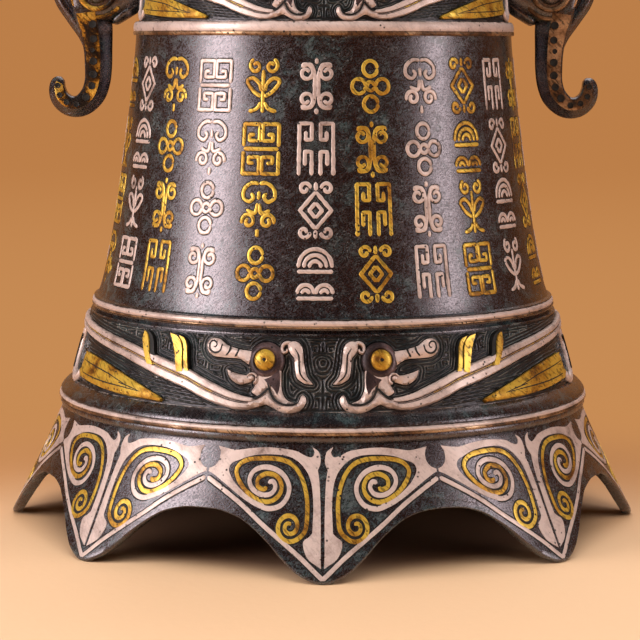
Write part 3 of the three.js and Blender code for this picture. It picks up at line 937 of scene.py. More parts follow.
@dataclass
class Finishes:
    """Every finish of the bell, built once."""

    bronze: Material = built(PatinatedBronze())
    ground: Material = built(PatinatedBronze(
        name="carved_ground",
        stops=(
            (0.38, (0.0030, 0.0040, 0.0046)), (0.46, (0.0070, 0.0100, 0.0110)),
            (0.51, (0.0080, 0.0200, 0.0215)),
            (0.56, (0.018, 0.046, 0.047)), (0.64, (0.075, 0.115, 0.108)),
        ),
        groove=(0.0030, 0.0068, 0.0070),
        # pale ridge colour: partly worn metal, partly painted glint
        worn=(0.19, 0.165, 0.15),
        roughness=(0.32, 0.6),
        gloss_index=1.6,
        wax=(0.1, 0.3, 1.5),
        carved=True,
    ))
    silver: Material = built(InlaidMetal(
        name="silver_inlay",
        stops=((0.32, (0.18, 0.125, 0.105)), (0.41, (0.41, 0.315, 0.28)), (0.52, (0.565, 0.45, 0.405))),
        pit=(0.03, 0.024, 0.022),
        roughness=(0.34, 0.5), metallic=0.3, cut_share=0.15,
        edge=(0.085, 0.055, 0.036),
    ))
    # silver darkened as painted shade, for the eye sockets and the cheek under them
    shaded_silver: Material = built(InlaidMetal(
        name="painted_shade_silver",
        stops=((0.38, (0.014, 0.009, 0.010)), (0.49, (0.044, 0.027, 0.028)), (0.62, (0.15, 0.10, 0.10))),
        pit=(0.012, 0.010, 0.011),
        roughness=(0.30, 0.5), metallic=0.5, cut_share=0.3,
    ))
    gold: Material = built(InlaidMetal(
        name="gold_inlay",
        stops=((0.36, (0.12, 0.042, 0.005)), (0.44, (0.40, 0.20, 0.017)), (0.55, (0.64, 0.43, 0.060))),
        pit=(0.025, 0.012, 0.004),
        roughness=(0.30, 0.46), metallic=0.5, cut_share=0.6,
    ))
    worn_gold: Material = built(InlaidMetal(
        name="worn_gold",
        stops=(
            (0.40, (0.010, 0.008, 0.007)), (0.455, (0.05, 0.022, 0.006)), (0.50, (0.42, 0.20, 0.022)),
            (0.58, (0.78, 0.52, 0.10)),
        ),
        pit=(0.010, 0.007, 0.006),
        roughness=(0.24, 0.40), metallic=0.6, cut_share=0.8,
    ))
    # coppery finish: the rings' wires, partly painted floor reflection, and the right ear's worn gilding
    copper: Material = built(InlaidMetal(
        name="worn_edge",
        stops=((0.36, (0.018, 0.014, 0.011)), (0.47, (0.13, 0.062, 0.026)), (0.6, (0.44, 0.29, 0.17))),
        pit=(0.008, 0.007, 0.006),
        roughness=(0.26, 0.5), metallic=0.6, cut_share=0.7,
    ))
    bare: Material = built(InlaidMetal(
        name="bare_bronze",
        stops=((0.3, (0.10, 0.055, 0.02)), (0.45, (0.26, 0.15, 0.06)), (0.6, (0.38, 0.235, 0.10))),
        pit=(0.03, 0.035, 0.03),
        roughness=(0.34, 0.55), metallic=0.85,
    ))
    seam: Material = built(BlackSeam())


class Slot(Enum):
    """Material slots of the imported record."""

    BRONZE = "patinated_bronze"
    SILVER = "silver_inlay"
    GOLD = "gold_inlay"
    BARE = "bare_bronze"


# The bell's outside, which all ornament lies on


def band_levels(node: str, fit: float = 0.3) -> Pair:
    """Gives the lower and upper edge of a band's groove in mm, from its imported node."""
    low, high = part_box(node)
    return low.z / MM - fit, high.z / MM + fit


@dataclass(frozen=True)
class CarvedBand:
    """A band of dragons, in mm: its radii at the lower and the upper edge, and its sag halfway up."""

    name: str
    bottom: float
    height: float
    radii: Pair
    sag: float
    scale: float


@dataclass
class BellForm:
    """The bell's shape in mm: radii as cast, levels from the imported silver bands."""

    mouth_radius: float = 125.5
    skirt_top_radius: float = 103.6
    skirt_height: float = 46.0
    skirt_flare: float = 1.08
    skirt_wall: float = 4.0
    wall: float = 4.5
    petals: int = 8
    flange_radius: float = 104.3
    foot_height: float = 4.5
    lower_height: float = 27.2
    lower_radii: Pair = (99.5, 91.8)
    upper_height: float = 22.0
    upper_radii: Pair = (72.3, 69.0)
    barrel_radii: Pair = (89.5, 73.8)
    barrel_sweep: tuple[Pair, Pair] = ((83, 0.125), (73, 0.99))
    crown_flat_radius: float = 37.0
    crown_thickness: float = 6.0
    dome_height: float = 27.0
    dome_radius: float = 69.0
    ground_sink: float = 0.9
    lip_round: float = 1.3
    petal_reach: float = 47.5  # from the middle of a petal to the middle of an arch, as drawn
    petal_edge: Rows = (
        (0, 0), (1.6, 0.1), (4.4, 0.9), (9.3, 3.4), (14.6, 7.8), (20.2, 13.1), (26.1, 17.6), (32.1, 20.9),
        (40.1, 22.9), (47.5, 23.3),
    )

    def __post_init__(self) -> None:
        """Works out the levels and the outline."""
        self.skirt_band = band_levels("skirt_silver_band")
        self.base_band = band_levels("barrel_base_silver_band")
        self.top_band = band_levels("barrel_top_silver_band")
        self.shoulder_band = band_levels("shoulder_silver_band")
        self.barrel_low = self.base_band[1] + 0.6
        self.barrel_high = self.top_band[0]
        self.crown_top = self.shoulder_band[1] + self.dome_height
        self.lip_height = 2.4 * self.lip_round
        lower = self.skirt_band[1] + self.foot_height
        self.lower = CarvedBand("lower", lower, self.lower_height, self.lower_radii, 0.6, 1.0)
        small = self.upper_height / self.lower_height
        self.upper = CarvedBand("upper", self.top_band[1], self.upper_height, self.upper_radii, 0.0, small)
        edge = smooth_line(self.petal_edge, 0.4)
        self.edge_share, self.edge_height = edge[:, 0] / self.petal_reach, edge[:, 1]
        skirt = [(self.skirt_radius(z), z) for z in np.linspace(0, self.skirt_height, 24)]
        outline = [*skirt, *((self.flange_radius, z) for z in (self.skirt_height + 0.6, self.skirt_band[1]))]
        outline += [*self.band_line(self.lower), *self.barrel_line(), *self.band_line(self.upper)]
        outline += [(self.upper_radii[1], self.shoulder_band[1]), *self.dome_line()]
        self.outline_radius, self.outline_height = np.array(outline).T
        self.outline_height += np.arange(len(outline)) * 1e-7
        self.outline_slope = np.gradient(self.outline_radius, self.outline_height)

    def skirt_radius(self, z: float | Array) -> Array:
        """Gives the skirt's outer radius at a height."""
        left = np.clip(1 - np.asarray(z) / self.skirt_height, 0, 1)
        return self.skirt_top_radius + (self.mouth_radius - self.skirt_top_radius) * left**self.skirt_flare

    def band_line(self, band: CarvedBand, steps: int = 10, out: float = 0) -> list[Pair]:
        """Gives the outline of a carved band.

        Args:
            band: The band.
            steps: How many rows it has.
            out: How far out of the band's surface it runs.

        Returns:
            Rows of radius and height, from its lower edge up.
        """
        share = np.linspace(0, 1, steps)
        radius = band.radii[0] + (band.radii[1] - band.radii[0]) * share - band.sag * 4 * share * (1 - share)
        return list(zip(radius + out, band.bottom + band.height * share))

    def barrel_line(self, steps: int = 48) -> list[Pair]:
        """Gives the outline of the barrel, which is one cubic curve.

        Args:
            steps: How many rows it has.

        Returns:
            Rows of radius and height, from its foot up.
        """
        height = self.barrel_high - self.barrel_low
        (r1, s1), (r2, s2) = self.barrel_sweep
        t = np.linspace(0, 1, steps)
        weights = ((1 - t) ** 3, 3 * t * (1 - t) ** 2, 3 * t**2 * (1 - t), t**3)
        radius = sum(w * r for w, r in zip(weights, (self.barrel_radii[0], r1, r2, self.barrel_radii[1])))
        share = sum(w * s for w, s in zip(weights, (0, s1, s2, 1)))
        return list(zip(radius, self.barrel_low + height * share))

    def dome_line(self, wall: float = 0, steps: int = 20) -> list[Pair]:
        """Gives the outline of the dome, or of its inside.

        Args:
            wall: The wall's thickness for the inside, or 0 for the outside.
            steps: How many rows it has.

        Returns:
            Rows of radius and height, from its foot up.
        """
        turn = np.linspace(0, math.pi / 2, steps)
        rise = self.dome_height - (self.crown_thickness if wall else 0)
        radius = self.crown_flat_radius - wall + (self.dome_radius - self.crown_flat_radius) * np.cos(turn)
        return list(zip(radius, self.shoulder_band[1] + rise * np.sin(turn)))

    def arch(self, angle: Array) -> Array:
        """Gives the height of the mouth's edge.

        Args:
            angle: Angle from the front, in radians.

        Returns:
            The height, 0 at the tips of the petals.
        """
        pitch = TURN / self.petals
        share = np.abs((angle / pitch + 0.5) % 1 - 0.5) * 2
        return np.interp(share, self.edge_share, self.edge_height)

    def on_bell(self, angle: Array, z: Array, out: Array) -> Array:
        """Lays points on the bell.

        Args:
            angle: Angle from the front, in radians, positive to the right.
            z: Height, in mm.
            out: Distance out of the surface, in mm.

        Returns:
            Points in metres.
        """
        angle, z, out = np.broadcast_arrays(angle, z, out)
        slope = np.interp(z, self.outline_height, self.outline_slope)
        tilt = 1 / np.sqrt(1 + slope**2)
        r = np.interp(z, self.outline_height, self.outline_radius) + out * tilt
        return round_points(r, angle, z - out * slope * tilt)


class Quarter(Enum):
    """The four dragons of a band: side of its front, and half turns from the front."""

    FRONT_LEFT = (1, 0)
    FRONT_RIGHT = (-1, 0)
    REAR_RIGHT = (1, 1)
    REAR_LEFT = (-1, 1)


@dataclass
class Assembly:
    """What every sub-assembly shares: the bell's form and its finishes."""

    form: BellForm
    finishes: Finishes

    def piece(
        self,
        name: str,
        made: Form,
        finish: Material,
        slot: Slot,
        stands_for: Sequence[str] = (),
        body: str = "bell",
    ) -> None:
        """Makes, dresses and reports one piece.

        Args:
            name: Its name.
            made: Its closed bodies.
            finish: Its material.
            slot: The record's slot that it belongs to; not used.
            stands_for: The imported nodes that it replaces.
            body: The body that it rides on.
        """
        thing = made.to_object(name)
        thing.data.materials.append(finish)
        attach(thing, body)
        if stands_for:
            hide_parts(*stands_for)
        log.info("%s: %d vertices on %s", name, made.count, body)


@dataclass
class ShellBody(Assembly):
    """The cast body: skirt with petals, flange, grooves for the bands, barrel, dome and inside."""

    around: int = 768
    mouth_dents: float = 0.07
    waves: float = 0.012
    smooth_radius: float = 20.0

    def outside(self) -> list[Pair]:
        """Gives the outline from the middle of the crown down to the mouth.

        Returns:
            Rows of radius and height.
        """
        f = self.form
        sink = -f.ground_sink
        crown = [(1.0, f.crown_top), *((r, f.crown_top) for r in (12, 24, 34))]
        low, high = f.shoulder_band
        shoulder = [(f.upper_radii[1] + 0.3, z) for z in (high - 0.1, low + 0.1)]
        upper = f.band_line(f.upper, out=sink)[::-1]
        seat = [(f.barrel_radii[1] - 1.1, z) for z in (f.top_band[1] - 0.1, f.top_band[0] + 0.1)]
        barrel = f.barrel_line()[::-1]
        base_low, base_high = f.base_band
        rib = [
            (90.2, f.barrel_low - 0.25), (90.9, base_high + 0.1), (90.9, base_high - 0.05),
            (89.6, base_high - 0.3), (89.6, base_low + 0.3), (91.0, base_low + 0.05),
            (91.3, base_low - 0.2), (91.2, base_low - 0.6), (90.1, base_low - 0.9), (89.9, base_low - 1.5),
            (90.6, base_low - 1.9), (92.1, base_low - 2.1), (92.3, base_low - 2.6), (91.6, base_low - 2.9),
        ]
        lower = f.band_line(f.lower, out=sink)[::-1][1:-1]
        foot = f.lower.bottom
        skirt_low, skirt_high = f.skirt_band
        flange = [
            (99.0, foot + 0.5), (99.9, foot), (101.2, foot - 0.9), (102.6, foot - 2.0), (103.7, foot - 3.2),
            (104.3, foot - 4.1), (104.3, skirt_high), (102.9, skirt_high - 0.1), (102.9, skirt_low + 0.1),
            (104.3, skirt_low), (104.5, skirt_low - 0.4), (104.5, skirt_low - 1.5), (104.2, skirt_low - 2.3),
            (103.6, skirt_low - 2.8), (103.3, skirt_low - 3.1),
        ]
        skirt = [(float(f.skirt_radius(z)), z) for z in np.linspace(f.skirt_height, f.lip_height, 26)]
        top = [*crown, *f.dome_line()[::-1], *shoulder, *upper, *seat]
        return [*top, *barrel, *rib, *lower, *flange, *skirt]

    def lip(self) -> list[Pair]:
        """Gives the rounded edge of the mouth.

        Returns:
            Rows of radius and height, from outside to inside.
        """
        f = self.form
        half = f.skirt_wall / 2
        middle = float(f.skirt_radius(f.lip_round)) - half
        turn = np.linspace(0, math.pi, 12)
        across = half * np.sign(np.cos(turn)) * abs(np.cos(turn)) ** 0.5
        return list(zip(middle + across, f.lip_round * (1 - np.sin(turn) ** 0.6)))

    def inside(self) -> list[Pair]:
        """Gives the outline from the mouth up to the middle of the ceiling.

        Returns:
            Rows of radius and height.
        """
        f = self.form
        levels = np.linspace(f.lip_height, f.skirt_height, 14)
        skirt = [(float(f.skirt_radius(z)) - f.skirt_wall, z) for z in levels]
        barrel = [(r - f.wall, z) for r, z in f.barrel_line(20)[:-1]]
        dome = f.dome_line(f.wall, 12)
        ceiling = f.crown_top - f.crown_thickness
        return [
            *skirt, (f.lower_radii[0] - f.wall, f.lower.bottom), *barrel,
            (f.upper_radii[0] - f.wall, f.upper.bottom), *dome, (16, ceiling), (1.0, ceiling),
        ]

    def build(self) -> None:
        """Builds the shell."""
        f = self.form
        radius, z = upright([*self.outside(), *self.lip(), *self.inside()])
        angle = full_turn(self.around)
        lift = f.arch(angle)
        lifted = np.where(z < f.skirt_height, lift + z * (1 - lift / f.skirt_height), z)
        shift = np.where(z < f.skirt_height, f.skirt_radius(lifted) - f.skirt_radius(z), 0)
        dents, waves = self.mouth_dents * np.exp(-z / 20), self.waves
        dent = dents * wander(angle, 3, 24) + waves * wander(angle, 5, 12)
        r = radius + shift + np.where(radius > self.smooth_radius, dent, 0)
        made = Form()
        made.skin(round_points(r, angle, lifted))
        self.piece("bell_body", made, self.finishes.bronze, Slot.BRONZE, ["bell_shell"])


@dataclass
class SilverRings(Assembly):
    """The four silver bands let in all round, with worn and nicked edges, and a coppery wire along the lower
    edge of each that is partly worn metal and partly a painted reflection of the floor.
    """

    around: int = 960
    rings: tuple[tuple[str, float, float], ...] = (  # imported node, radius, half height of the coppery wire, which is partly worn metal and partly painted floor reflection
        ("skirt_silver_band", 104.6, 0.75),
        ("barrel_base_silver_band", 91.3, 0.4),
        ("barrel_top_silver_band", 74.4, 0.85),
        ("shoulder_silver_band", 71.0, 0.4),
    )
    nicks: float = 0.13
    waves: float = 0.012
    section: Rows = (
        (-1, -1.3), (-1, -0.8), (-0.93, -0.45), (-0.7, -0.05), (-0.4, 0.2), (0, 0.3), (0.4, 0.2),
        (0.7, -0.05), (0.93, -0.45), (1, -0.8), (1, -1.3),
    )

    def build(self) -> None:
        """Builds the bands."""
        angle = full_turn(self.around)[:, None]
        share, out = np.array(self.section).T
        for seed, (node, radius, half) in enumerate(self.rings):
            low, high = band_levels(node, 0.05)
            edge_wear = self.nicks * wander(angle, 40 + seed, 60) * np.sign(share) * (np.abs(share) > 0.6)
            z = (low + high) / 2 + share * (high - low) / 2 - np.abs(edge_wear) * np.sign(share)
            r = radius + out + self.waves * wander(angle, 60 + seed, 40) * (out > -1)
            relief = np.broadcast_to(np.clip(1.15 - np.abs(share) ** 2.2, 0, 1), r.shape)
            made, wire = Form(), Form()
            made.skin(round_points(r, angle, z), True, relief)
            self.piece(node.replace("_band", "_ring"), made, self.finishes.silver, Slot.SILVER, [node])
            # the coppery wire is partly worn metal and partly a painted reflection of the floor
            turned(wire, hoop(radius - 0.05, 0.5, low + half - 0.35, half), around=480, is_ring=True)
            self.piece(node.replace("_silver_band", "_worn_wire"), wire, self.finishes.copper, Slot.BARE)


@dataclass(frozen=True)
class DragonDrawing:
    """One dragon, drawn in mm left of the front on a radius of 96: along, height, half width.

    Heights count from the lower edge of a band 27.2 mm high. An outline's runs meet in corners.
    """

    reference_radius: float = 96.0
    back: Rows = (
        (-150.8, 23.2, 1.6), (-143, 23, 1.9), (-131, 21.9, 2.3), (-118, 20.9, 2.5), (-104, 19.6, 2.65),
        (-92, 18.2, 2.8), (-82, 16.7, 2.95), (-73.5, 14.9, 3.15), (-66, 13.2, 3.3), (-58, 11.3, 3.4),
        (-51, 9.5, 3.3), (-45, 7.2, 3.2), (-39.5, 5.3, 3.15), (-34, 3.6, 2.8), (-30, 2.8, 2.6),
        (-26.5, 2.6, 2.2), (-23.6, 3.2, 1.5),
    )
    chin: Runs = (
        ((-27, 0.5), (-23.1, 1.3), (-20.2, 2.4), (-17.8, 1.5), (-15.4, 0.3), (-13.6, -0.3), (-11.9, -0.4),
         (-9, 0.1), (-7, 1.5), (-5.9, 3.5), (-6.1, 5.1)),
        ((-7, 5.8), (-7.8, 5.2), (-8.1, 4.1), (-8.8, 2.9), (-10.5, 2), (-12.5, 1.8), (-15.5, 2.7),
         (-17.6, 4.6), (-18.9, 6.2)),
        ((-19.5, 7.4), (-20.7, 6), (-22.1, 4.7), (-23.6, 3.8)),
        ((-26.2, 3),),
    )
    head: Runs = (
        ((-22.6, 5), (-25.3, 6.4), (-24.6, 8.1), (-24, 9.8), (-23.9, 12), (-25.8, 13.8)),
        ((-27.1, 15), (-22, 18)),
        ((-15.2, 15), (-15, 11.5), (-14.9, 8.8), (-14.4, 6.7), (-13.4, 4.9), (-12.3, 3.9), (-11, 3.4)),
        ((-9.4, 2.9), (-10.8, 2.5), (-12.8, 2.5), (-15.2, 3.4), (-17.1, 5), (-18.3, 6.9)),
        ((-19.1, 8.2), (-20.6, 6.8)),
    )
    plume: Runs = (
        ((-24.6, 20.6), (-27.6, 20.9), (-31, 21.3), (-34.4, 22), (-36.6, 22.6), (-37.9, 23.5), (-39.7, 24.6),
         (-41.7, 24.9), (-43.5, 24.2), (-44.5, 22.8), (-44.4, 21), (-43.2, 19.4), (-41.2, 18.4),
         (-38.9, 18.2), (-35.9, 18.1), (-31.3, 18), (-29, 17)),
        ((-26.2, 15.4),),
    )
    claw: Runs = (
        ((-35.4, 13.9), (-33.4, 13.2), (-30.1, 12.5), (-27.9, 12.3)),
        ((-26.4, 12.9), (-25.4, 11.4)),
        ((-26, 10), (-28, 9.4), (-29.8, 8.9), (-32.1, 9.6), (-34.3, 11.4)),
    )
    claw_coil: Rows = (
        (-27.2, 11.4, 0.4), (-26.7, 12.4, 0.5), (-25.5, 12.9, 0.55), (-24.3, 12.4, 0.55),
        (-23.8, 11.2, 0.55), (-24.1, 10, 0.5), (-25, 9.3, 0.4),
    )
    claw_bead: Pair = (-25.6, 11.3)
    bead_profile: Rows = ((0.8, -0.6), (0.8, 2.2), (0.55, 2.7), (0.1, 2.9))
    brow: Runs = (
        ((-13, 23.4), (-12.2, 24.4), (-10.3, 24.7), (-8.5, 23.8), (-7.5, 21.7), (-7, 17.3), (-6.4, 14.5),
         (-5.6, 12.1)),
        ((-3.6, 9.7), (-6, 9.8), (-7.9, 10.7), (-9.4, 12), (-10.1, 15), (-10.5, 18.5), (-11.7, 20.1)),
        ((-12.6, 21.4),),
    )
    brow_coil: Rows = (
        (-11.8, 23.7, 0.8), (-13.2, 24.2, 0.75), (-14.7, 23.5, 0.7), (-15.2, 21.9, 0.65), (-14.5, 20.7, 0.6),
        (-13.3, 21.2, 0.5), (-13.4, 22.2, 0.45),
    )
    gold_fins: tuple[Runs, ...] = (
        (
            ((-74.6, 25), (-73, 24.2), (-71.7, 22), (-71, 19.6), (-70.2, 17), (-68.6, 14.6)),
            ((-67.4, 13.2),),
            ((-70.4, 13.2), (-72.4, 16.2), (-73.8, 19), (-74.9, 22.2)),
        ),
        (
            ((-60.9, 25.2), (-58.2, 24.6), (-56, 23), (-55, 20.6), (-54.5, 18), (-53.9, 14.3)),
            ((-53.3, 12),),
            ((-55.8, 11.6), (-57, 15.6), (-58, 18.9), (-59.2, 22)),
        ),
        (
            ((-56.8, 24.7), (-54.4, 23.8), (-53, 21.4), (-52.3, 18), (-51.4, 14.2)),
            ((-50.8, 12.4),),
            ((-52.4, 12.4), (-53.3, 15.6), (-53.8, 19), (-54.4, 21.6)),
        ),
    )
    # dark plates under the gold fins, whose uncovered right sides are painted shadow
    fins: tuple[Runs, ...] = (
        (
            ((-74.2, 25.4), (-71.8, 24.6), (-70, 22.9), (-69, 20.4), (-68.3, 17.8)),
            ((-66.2, 14.4),),
            ((-70.4, 14.8), (-72.2, 17.6), (-73.3, 20.4), (-74.7, 22.8)),
        ),
        (
            ((-60.8, 25.2), (-57.2, 24.9), (-54, 23.6), (-52.4, 20.6), (-52.1, 17.4)),
            ((-50.8, 13),),
            ((-55.6, 12), (-56.6, 15.6), (-56.9, 18.9), (-58.2, 22.2)),
        ),
    )
    creases: Runs = (
        ((-38, 22.9, 0.28), (-38.5, 20.6, 0.36), (-40.2, 19.6, 0.38), (-42.1, 20.1, 0.38), (-43, 21.7, 0.36),
         (-42.6, 23.4, 0.34), (-41.2, 23.8, 0.32), (-40.1, 22.8, 0.3), (-40.6, 21.6, 0.26),
         (-41.4, 21.8, 0.2)),
        ((-34.5, 22.4, 0.3), (-34.9, 20.4, 0.4), (-36.2, 18.8, 0.3)),
        ((-31.2, 21.8, 0.3), (-31.6, 20.2, 0.42), (-32.6, 18.5, 0.3)),
        ((-19.7, 10.3, 0.2), (-19.3, 9, 0.34), (-18.6, 7.2, 0.36)),
        ((-10.4, 22.2, 0.16), (-8.9, 19.8, 0.3), (-8.6, 16.8, 0.32), (-8.3, 13.9, 0.32), (-7.2, 11.8, 0.28),
         (-5.4, 10.4, 0.16)),
        ((-133.6, 17.5, 0.3), (-135, 13.6, 0.5), (-134.4, 9, 0.5), (-131.9, 4.4, 0.3)),
    )
    head_seam: Rows = ((-24.6, 3.9, 0.25), (-22.3, 4.9, 0.42), (-20.6, 6.3, 0.42), (-19.3, 7.9, 0.4))
    lip_seam: Rows = (
        (-19.2, 8, 0.3), (-17.4, 4.7, 0.42), (-15.4, 3, 0.42), (-12.8, 2.1, 0.4), (-10.4, 2.3, 0.34),
        (-8.8, 3.2, 0.2),
    )
    eye: Pair = (-21.1, 17.8)
    socket: Pair = (-20.8, 17.6)
    socket_profile: Rows = (
        (6.7, -0.6), (6.7, 0.9), (6.4, 1.5), (5.8, 2.05), (5, 2.45), (4.6, 2.5), (4.3, 2.2), (4.2, 2.06),
        (0.5, 2.06),
    )
    eye_profile: Rows = (
        (3.8, 0.4), (3.8, 2.1), (3.65, 2.8), (3, 3.35), (2, 3.65), (1.2, 3.75), (0.8, 3.5), (0.2, 3.4),
    )
    pupil_profile: Rows = ((0.62, 3), (0.62, 3.6), (0.4, 3.7), (0.1, 3.7))
    cheek_shadow: Runs = (
        ((-20.9, 10.9), (-20, 9.9), (-19.1, 9.2), (-17.3, 7.6)),
        ((-15.9, 5.6), (-15.4, 7.4), (-15.2, 9.2), (-15.3, 12.1)),
        ((-15.7, 14.7), (-18.4, 12.1)),
    )
    wing: Runs = (
        ((-118.5, 12.6), (-103, 11.7), (-88.5, 9.4), (-80.5, 7.5), (-71.5, 5.2)),
        ((-61.9, 2.3), (-60.7, 1.4)),
        ((-61.6, 0.6), (-69.7, 0.8), (-84, 1.1), (-98.6, 1.8), (-111.1, 2.7)),
        ((-117.5, 3), (-120, 5), (-118.2, 8), (-119, 10.4)),
    )
    wing_cuts: Runs = (
        ((-116.4, 9.6, 0.16), (-103, 8.5, 0.24), (-92.8, 7.4, 0.24), (-85.7, 6, 0.2), (-80, 4.7, 0.12)),
        ((-114.3, 4.9, 0.16), (-100.5, 4.2, 0.24), (-91.2, 3.9, 0.24), (-81, 3.6, 0.2), (-71, 3, 0.12)),
        ((-71, 3, 0.12), (-77, 4.1, 0.2), (-84, 5, 0.2)),
    )
    tail: Rows = (
        (-133.5, 20.5, 1.2), (-135.4, 15, 1.5), (-134.6, 9, 1.6), (-131.8, 3.6, 1.7), (-127, 1.3, 1.7),
        (-122.2, 2.6, 1.3), (-120.8, 5.2, 0.8),
    )

    def outlines(self) -> list[Array]:
        """Gives the outline of every plate of the relief."""
        shapes = (self.chin, self.head, self.plume, self.claw, self.brow, self.wing, *self.fins)
        return [smooth_outline(shape, 0.7) for shape in shapes]

    def solids(self) -> Array:
        """Gives every line of the relief.

        Returns:
            Rows of along, height and half width.
        """
        lines = [smooth_line(line, 0.8) for line in (self.back, self.claw_coil, self.brow_coil, self.tail)]
        edges = [np.column_stack([outline, np.zeros(len(outline))]) for outline in self.outlines()]
        return np.vstack([*lines, *edges, [(*self.socket, self.socket_profile[0][0])]])


@dataclass
class DragonBand(Assembly):
    """A carved band: its ground of fine square spirals and the four dragons on it."""

    band: CarvedBand
    drawing: DragonDrawing = field(default_factory=DragonDrawing)
    ridge_pitch: float = 1.2
    ridge_height: float = 0.6
    contour_reach: float = 3.3
    cell: float = 6.28
    cell_turns: float = 2.6
    columns: int = 2304
    rows: int = 104
    quarter_length: float = 150.8
    overlap: float = 30.0
    shield_level: float = 17.5
    shield_radius: float = 4.6

    def laid(self, quarter: Quarter) -> Place:
        """Gives the function that lays one quarter's drawing onto the bell.

        Args:
            quarter: The quarter.

        Returns:
            The function, which takes along, up and out.
        """
        side, turns = quarter.value
        band, reference = self.band, self.drawing.reference_radius

        def place(along: Array, up: Array, out: Array) -> Array:
            """Lays points of the drawing onto the bell."""
            angle = side * along / reference + turns * math.pi
            return self.form.on_bell(angle, band.bottom + up * band.scale, out)

        return place

    def distance_from_relief(self, along: Array, up: Array) -> Array:
        """Gives the distance from the dragons' edges, in the left front quarter.

        Args:
            along: A grid of distances along the band, in the drawing's mm.
            up: Its heights.

        Returns:
            The distance at each point of the grid, -1 under a dragon.
        """
        lines = self.drawing.solids()
        mirrored = lines * np.array([-1, 1, 1])
        behind = mirrored - np.array([2 * self.quarter_length, 0, 0])
        near = mirrored[:, 0] < self.overlap
        far = behind[:, 0] > -self.quarter_length - self.overlap
        x, y, half = np.vstack([lines, mirrored[near], behind[far]]).T
        away = np.stack([
            np.min(np.hypot(a[:, None] - x, u[:, None] - y) - half, axis=1) for a, u in zip(along, up)
        ])
        points = np.stack([along.ravel(), up.ravel()], axis=1)
        covered = np.any([is_inside(points, outline) for outline in self.drawing.outlines()], axis=0)
        return np.where(covered.reshape(away.shape), -1, away)

    def square_spirals(self, along: Array, up: Array) -> Array:
        """Gives ridges that wind square in every cell, mirrored from cell to cell.

        Args:
            along: Distances along the band, in the drawing's mm.
            up: Heights.

        Returns:
            The height at each point, from 0 to 1.
        """
        column, row = np.floor(along / self.cell), np.floor(up / self.cell)
        x = (along / self.cell - column - 0.5) * 2 * np.where(column % 2, 1, -1)
        y = (up / self.cell - row - 0.5) * 2 * np.where(row % 2, 1, -1)
        reach = np.maximum(np.abs(x), np.abs(y))
        across = np.where(x > 0, y / reach, 4 - y / reach)
        upward = np.where(y > 0, 2 - x / reach, 6 + x / reach)
        lap = np.where(np.abs(x) > np.abs(y), across, upward) / 8
        return 0.5 + 0.5 * np.cos(TURN * (reach * self.cell_turns - lap))

    def ridges(self, along: Array, up: Array) -> Array:
        """Gives the ground's carving: contours about the dragons, a shield between them, and spirals.

        Args:
            along: A grid of distances along the band, in the drawing's mm.
            up: Its heights.

        Returns:
            The height at each point, from 0 in a groove to 1 on a ridge.
        """
        away = self.distance_from_relief(along, up)
        contours = 0.5 - 0.5 * np.cos(TURN * away / self.ridge_pitch)
        spirals = self.square_spirals(along, up)
        above = up - self.shield_level
        rings = np.hypot(along * 0.9, above * np.where(above > 0, 1.25, 0.75))
        shield = 0.5 + 0.5 * np.cos(TURN * rings / self.ridge_pitch)
        ground = np.where(rings < self.shield_radius, shield, spirals)
        ground = np.where(away < self.contour_reach, contours, ground)
        below_body = (along > -120) & (along < -44) & (up < 9) & (away > 0.6)
        lines = 0.5 + 0.5 * np.cos(TURN * (up + along * 0.08) / self.ridge_pitch)
        ground = np.where(below_body, lines, ground)
        rim = np.minimum(up, self.form.lower_height - up)
        ground = np.where(rim < 0.5, 1, np.where(rim < 1.1, 0, ground))
        return np.clip(ground * 1.8 - 0.7, 0, 1)

    def build_ground(self) -> None:
        """Builds the ring of carved ground."""
        quarter_columns = self.columns // 4
        along = (np.arange(quarter_columns) + 0.5) / quarter_columns * -self.quarter_length
        up = np.linspace(0, self.form.lower_height, self.rows)
        across, heights = np.meshgrid(along, up)
        one = self.ridges(across, heights)
        ring = np.hstack([one[:, ::-1], one])
        ring = np.hstack([ring, ring])
        angle = ((np.arange(self.columns) + 0.5) / self.columns * TURN - math.pi / 2)[None, :]
        z = self.band.bottom + up[:, None] * self.band.scale
        seed = int(self.band.bottom)
        worn = ring * (0.86 + 0.14 * wander(angle + z * 0.11, seed, 50))
        out = worn * self.ridge_height * self.band.scale - 0.25
        front = self.form.on_bell(angle, z, out)
        sunk = self.form.on_bell(angle, z[[-1, 0]], np.full((2, 1), -1.3))
        made = Form()
        relief = np.vstack([ring, np.zeros((2, self.columns))])
        made.skin(np.concatenate([front, sunk]), ring_closes=True, relief=relief)
        self.piece(f"{self.band.name}_carved_ground", made, self.finishes.ground, Slot.BRONZE)

    def build_dragon(self, quarter: Quarter) -> None:
        """Builds one dragon.

        Args:
            quarter: Where it is.
        """
        d, place = self.drawing, self.laid(quarter)
        tall = self.band.scale
        name = f"{self.band.name}_dragon_{quarter.name.lower()}"
        silver, gold, eye, wing, dim, dark = Form(), Form(), Form(), Form(), Form(), Form()

        def raised(proud: float) -> Place:
            """Gives the function that lays things on top of the relief.

            Args:
                proud: How high the relief is under them, in the drawing's mm.

            Returns:
                The function, which takes along, up and out.
            """

            def lay(along: Array, up: Array, out: Array) -> Array:
                """Lays points on top of the relief."""
                return place(along, up, out + proud * tall)

            return lay

        def tall_profile(profile: Rows) -> list[Pair]:
            """Scales a boss with the band."""
            return [(radius, height * tall if height > 0 else height) for radius, height in profile]

